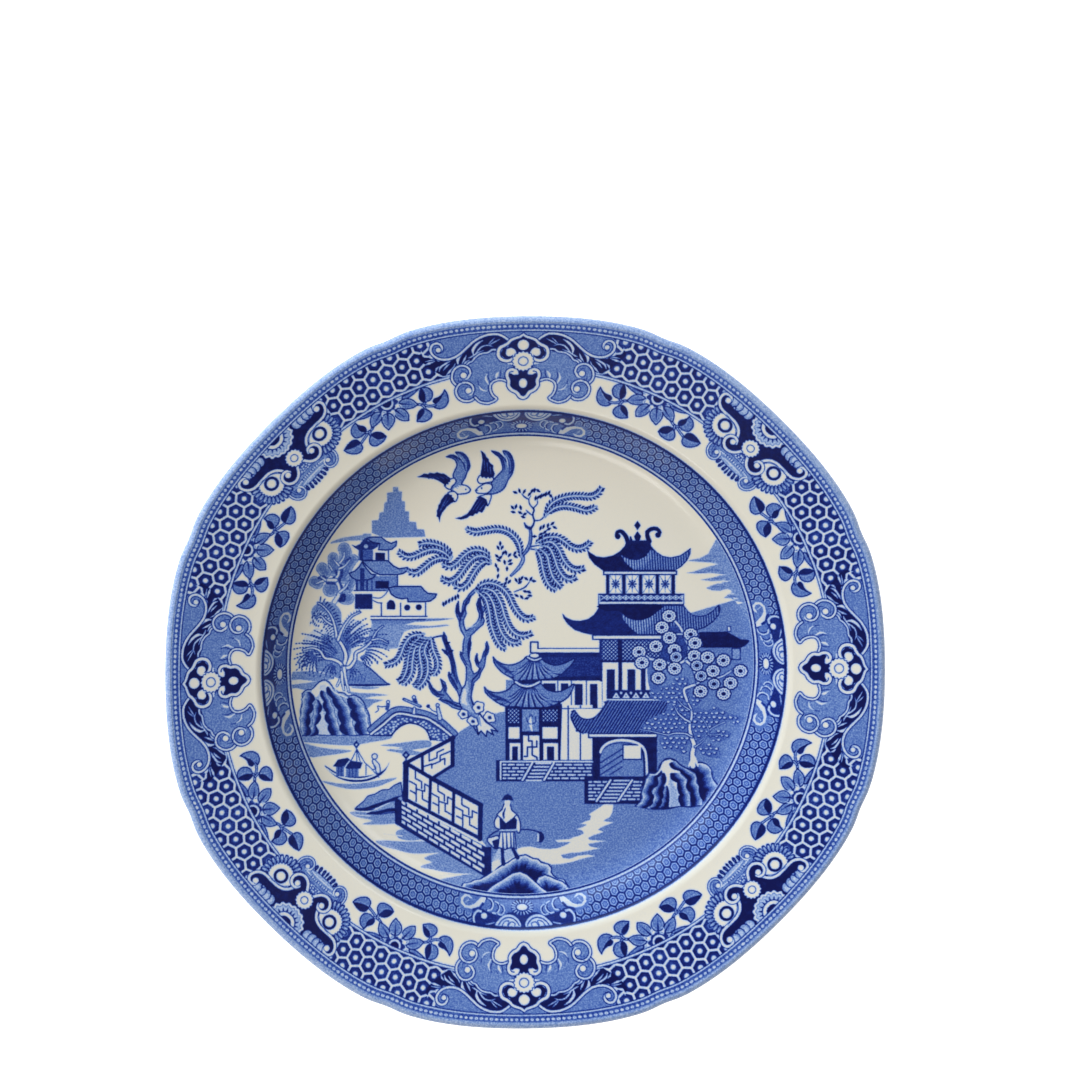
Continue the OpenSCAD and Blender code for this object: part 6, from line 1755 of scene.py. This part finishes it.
INKS = [(0.0, (212, 206, 191)), (0.2, (160, 177, 207)), (0.36, (117, 141, 188)), (0.5, (84, 112, 171)),
        (0.7, (45, 72, 150)), (0.86, (14, 34, 110)), (1.0, (1, 8, 68))]


def printed(name, stipple=0.62, cloud=0.09):
    """Cobalt transfer ink bled into a cream body, under a clear, glossy lead glaze."""
    m, nt, sh = new_material(name)
    co = nt.nodes.new("ShaderNodeTexCoord")
    at = nt.nodes.new("ShaderNodeAttribute")
    at.attribute_name = "ink"
    ink = at.outputs["Fac"]
    fine = noise(nt, 1700, 1.0, 0.5, co)
    soft = noise(nt, 420, 2.0, 0.55, co)
    wide = noise(nt, 22, 2.0, 0.5, co)
    # ink takes unevenly where there is ink; the bare body is only a little mottled
    amount = math_node(nt, "ADD", math_node(nt, "MULTIPLY", ink, 0.9), 0.1)
    d = math_node(nt, "ADD", math_node(nt, "MULTIPLY", math_node(nt, "SUBTRACT", soft, 0.5), cloud * 2),
                  math_node(nt, "MULTIPLY", math_node(nt, "SUBTRACT", wide, 0.5), 0.16))
    # the middle blues are stippled on the copper plate, so their grain is the strongest
    middle = math_node(nt, "MULTIPLY", math_node(nt, "MULTIPLY", ink, math_node(nt, "SUBTRACT", 1.0, ink)), 4.0)
    grain = math_node(nt, "MULTIPLY", math_node(nt, "SUBTRACT", fine, 0.5), stipple)
    grain = math_node(nt, "MULTIPLY", grain, math_node(nt, "ADD", math_node(nt, "MULTIPLY", middle, 0.85), 0.08))
    fac = math_node(nt, "ADD", math_node(nt, "ADD", ink, math_node(nt, "MULTIPLY", d, amount)), grain, clamp=True)
    col = ramp(nt, fac, [(p, lin(c)) for p, c in INKS])
    warm = ramp(nt, wide, [(0.3, (0.985, 0.985, 0.97, 1)), (0.7, (1.0, 1.0, 1.0, 1))])
    mix = nt.nodes.new("ShaderNodeMix")
    mix.data_type = "RGBA"
    mix.blend_type = "MULTIPLY"
    mix.inputs["Factor"].default_value = 1.0
    nt.links.new(col, mix.inputs["A"])
    nt.links.new(warm, mix.inputs["B"])
    nt.links.new(mix.outputs["Result"], sh.inputs["Base Color"])
    r = math_node(nt, "ADD", math_node(nt, "MULTIPLY", soft, 0.08), 0.14)
    nt.links.new(r, sh.inputs["Roughness"])
    sh.inputs["IOR"].default_value = 1.5
    socket(sh, "Specular IOR Level", "Specular").default_value = 0.27
    sh.inputs["Coat Weight"].default_value = 0.1
    sh.inputs["Coat Roughness"].default_value = 0.06
    bump = nt.nodes.new("ShaderNodeBump")
    bump.inputs["Strength"].default_value = 0.12
    bump.inputs["Distance"].default_value = 0.0004
    h = math_node(nt, "ADD", math_node(nt, "MULTIPLY", noise(nt, 55, 2.0, 0.5, co), 1.0),
                  math_node(nt, "MULTIPLY", noise(nt, 700, 1.0, 0.5, co), 0.05))
    nt.links.new(h, bump.inputs["Height"])
    nt.links.new(bump.outputs[0], sh.inputs["Normal"])
    return m


def bare(name, base, dark, rough, coat=0.0, specks=0.0):
    """Undecorated ware: glazed cream, or the unglazed biscuit of the foot."""
    m, nt, sh = new_material(name)
    co = nt.nodes.new("ShaderNodeTexCoord")
    wide, fine = noise(nt, 30, 3.0, 0.55, co), noise(nt, 1500, 2.0, 0.6, co)
    col = ramp(nt, wide, [(0.3, lin(dark)), (0.7, lin(base))])
    if specks:
        dots = ramp(nt, noise(nt, 900, 0.0, 0.5, co), [(0.76, (1, 1, 1, 1)), (0.82, (0.42, 0.38, 0.34, 1))])
        mix = nt.nodes.new("ShaderNodeMix")
        mix.data_type, mix.blend_type = "RGBA", "MULTIPLY"
        mix.inputs["Factor"].default_value = specks
        nt.links.new(col, mix.inputs["A"])
        nt.links.new(dots, mix.inputs["B"])
        col = mix.outputs["Result"]
    nt.links.new(col, sh.inputs["Base Color"])
    nt.links.new(math_node(nt, "ADD", math_node(nt, "MULTIPLY", fine, 0.12), rough - 0.06), sh.inputs["Roughness"])
    sh.inputs["IOR"].default_value = 1.5
    if coat:
        sh.inputs["Coat Weight"].default_value = coat
        sh.inputs["Coat Roughness"].default_value = 0.06
    bump = nt.nodes.new("ShaderNodeBump")
    bump.inputs["Strength"].default_value = 0.15 if coat else 0.4
    bump.inputs["Distance"].default_value = 0.0004 if coat else 0.0002
    nt.links.new(noise(nt, 60, 2.0, 0.5, co) if coat else fine, bump.inputs["Height"])
    nt.links.new(bump.outputs[0], sh.inputs["Normal"])
    return m


# ---- the pieces ----
border, band, scenery = border_sheet(), band_sheet(), scene_sheet()


def folded(sheet, shift=0.0):
    def ink_of(x, y):
        r, th = np.hypot(x, y), np.degrees(np.arctan2(y, x))
        phi = np.radians(np.abs(np.mod(th - (turn(th) + shift) - 45, 90) - 45))
        return sheet.at(r * np.sin(phi), r * np.cos(phi))
    return ink_of


def give(ob, mat, slot, *nodes):
    ob.data.materials.append(mat)
    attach(ob, "root")
    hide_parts(*nodes)
    return ob


print_m = printed("printed_earthenware")
q = math.pi / 4
TURNED_TO = -8            # the print stops just under the lip's widest point
for i in range(8):
    give(ring_skin("border_print_%d" % (i + 1), 97.0, LIP_C, 0.26, (i + 0.5) * q, (i + 1.5) * q, 400, folded(border), TURNED_TO),
         print_m, "border_ink", "border_print")
for i in range(4):
    give(ring_skin("band_print_%d" % (i + 1), SCENE_R, 97.0, 0.2, (2 * i + 1) * q, (2 * i + 3) * q, 640, folded(band)),
         print_m, "band_ink", "band_print")
for i in range(4):
    give(disc_skin("scene_print_%d" % (i + 1), SCENE_R, 300, 2 * i * q, scenery.at), print_m, "scene_ink", "scene_print")

# the undecorated back: glaze over the underside and inside the foot, biscuit on the standing ring
def wall(r):
    return 3 + 1.4 * np.clip((LIP_C - 2 - r) / 32, 0, 1)


def under(d):
    a = np.radians(np.linspace(TURNED_TO, -78, 16))
    R, z = lip_pt(a, d)
    out = list(zip(R, z))
    for r in np.concatenate([np.arange(127, 101, -1.5), np.arange(101, 78.5, -0.75)]):
        t = float(slope(r))
        out.append((r + (wall(r) + d) * math.sin(t), float(face_z(r)) - (wall(r) + d) * math.cos(t)))
    return out + [(76, 3 - d), (73.4 + 0.6 * d, 2.3 - 0.8 * d), (72.2 + d, 1.0)]


def inside_foot(d):
    return [(66.6 - d, 0.9), (65.2 - 0.8 * d, 2.1 - 0.8 * d), (62, 2.5 - d), (40, 2.5 - d), (20, 2.5 - d), (2, 2.5 - d)]


r = np.concatenate([np.arange(2, 72, 5), np.arange(72, LIP_C, 1.0)])
R, z = face_pt(r, 0.0)
face = [(0.0, CLAY_FLOOR)] + list(zip(R, z))
R, z = lip_pt(np.radians(np.linspace(90 + np.degrees(float(slope(LIP_C))), TURNED_TO, 12)), 0.0)
face += list(zip(R, z))
body = face + under(0.0)[1:] + [(71.2, 0.0), (67.4, 0.0)] + inside_foot(0.0) + [(0.0, 2.5)]
clay_m = bare("biscuit_earthenware", (196, 186, 164), (172, 158, 134), 0.75, specks=0.5)
back_m = bare("cream_glaze", (212, 207, 192), (203, 199, 183), 0.14, coat=0.35, specks=0.12)
give(turned("clay_body", body, 480), clay_m, "fired_clay", "plate_body")
give(turned("glaze_back", under(GLAZE) + under(0.0)[::-1], 960), back_m, "clear_glaze", "glaze_coat")
give(turned("glaze_recess", [(0.0, 2.5)] + inside_foot(0.0)[::-1] + inside_foot(GLAZE) + [(0.0, 2.5 - GLAZE)], 360), back_m, "recess_glaze", "recess_glaze")

# ---- floor, light and camera ----
me = bpy.data.meshes.new("floor")
h = 3.0
me.from_pydata([(-h, -h, 0), (h, -h, 0), (h, h, 0), (-h, h, 0)], [], [(0, 1, 2, 3)])
floor = bpy.data.objects.new("floor", me)
bpy.context.scene.collection.objects.link(floor)
m, nt, sh = new_material("pale_floor")
co = nt.nodes.new("ShaderNodeTexCoord")
nt.links.new(ramp(nt, noise(nt, 3, 2, 0.5, co), [(0.3, (0.96, 0.96, 0.96, 1)), (0.7, (0.98, 0.98, 0.98, 1))]), sh.inputs["Base Color"])
sh.inputs["Emission Color"].default_value = (1, 1, 1, 1)
sh.inputs["Emission Strength"].default_value = 0.62
sh.inputs["Roughness"].default_value = 0.9
me.materials.append(m)

world = bpy.data.worlds.new("studio")
bpy.context.scene.world = world
world.use_nodes = True
bg = world.node_tree.nodes["Background"]
bg.inputs["Color"].default_value = (1.0, 1.0, 1.0, 1)
bg.inputs["Strength"].default_value = 0.28


def lamp(name, at, size, power, look=(0, 0, 0), color=(1, 1, 1)):
    d = bpy.data.lights.new(name, "AREA")
    d.shape, d.size, d.size_y = "RECTANGLE", size[0], size[1]
    d.energy, d.color = power, color
    o = bpy.data.objects.new(name, d)
    bpy.context.scene.collection.objects.link(o)
    v = Vector(look) - Vector(at)
    o.location, o.rotation_euler = at, v.to_track_quat("-Z", "Y").to_euler()
    return o




def aimed(name, az, el, dist, size, power, color=(1, 1, 1)):
    a, e = math.radians(az), math.radians(el)
    return lamp(name, (dist * math.cos(e) * math.cos(a), dist * math.cos(e) * math.sin(a), dist * math.sin(e)), size, power, color=color)


aimed("key", 152, 37, 4.2, (3.0, 2.5), 112, (0.99, 0.99, 1.0)).visible_glossy = False
aimed("key_sheen", 152, 37, 4.2, (3.0, 2.5), 62, (0.97, 0.99, 1.0))
aimed("low_window", 114, 17, 3.6, (4.6, 1.3), 88, (0.58, 0.79, 1.0))
aimed("fill_right", 40, 55, 3.4, (1.3, 1.3), 17)
aimed("fill_front", 255, 48, 3.4, (1.2, 1.0), 19)

cam = bpy.data.cameras.new("camera")
cam.sensor_width, cam.lens = 36, VIEW_F / 1080 * 36
cam.clip_start, cam.clip_end = 0.1, 100
cam_o = bpy.data.objects.new("camera", cam)
bpy.context.scene.collection.objects.link(cam_o)
mat = Matrix([list(VIEW_M.T[i]) + [EYE[i] / 1000] for i in range(3)] + [[0, 0, 0, 1]])
cam_o.matrix_world = mat
bpy.context.scene.camera = cam_o
bpy.context.scene.view_settings.view_transform = "Standard"

bpy.context.view_layer.update()
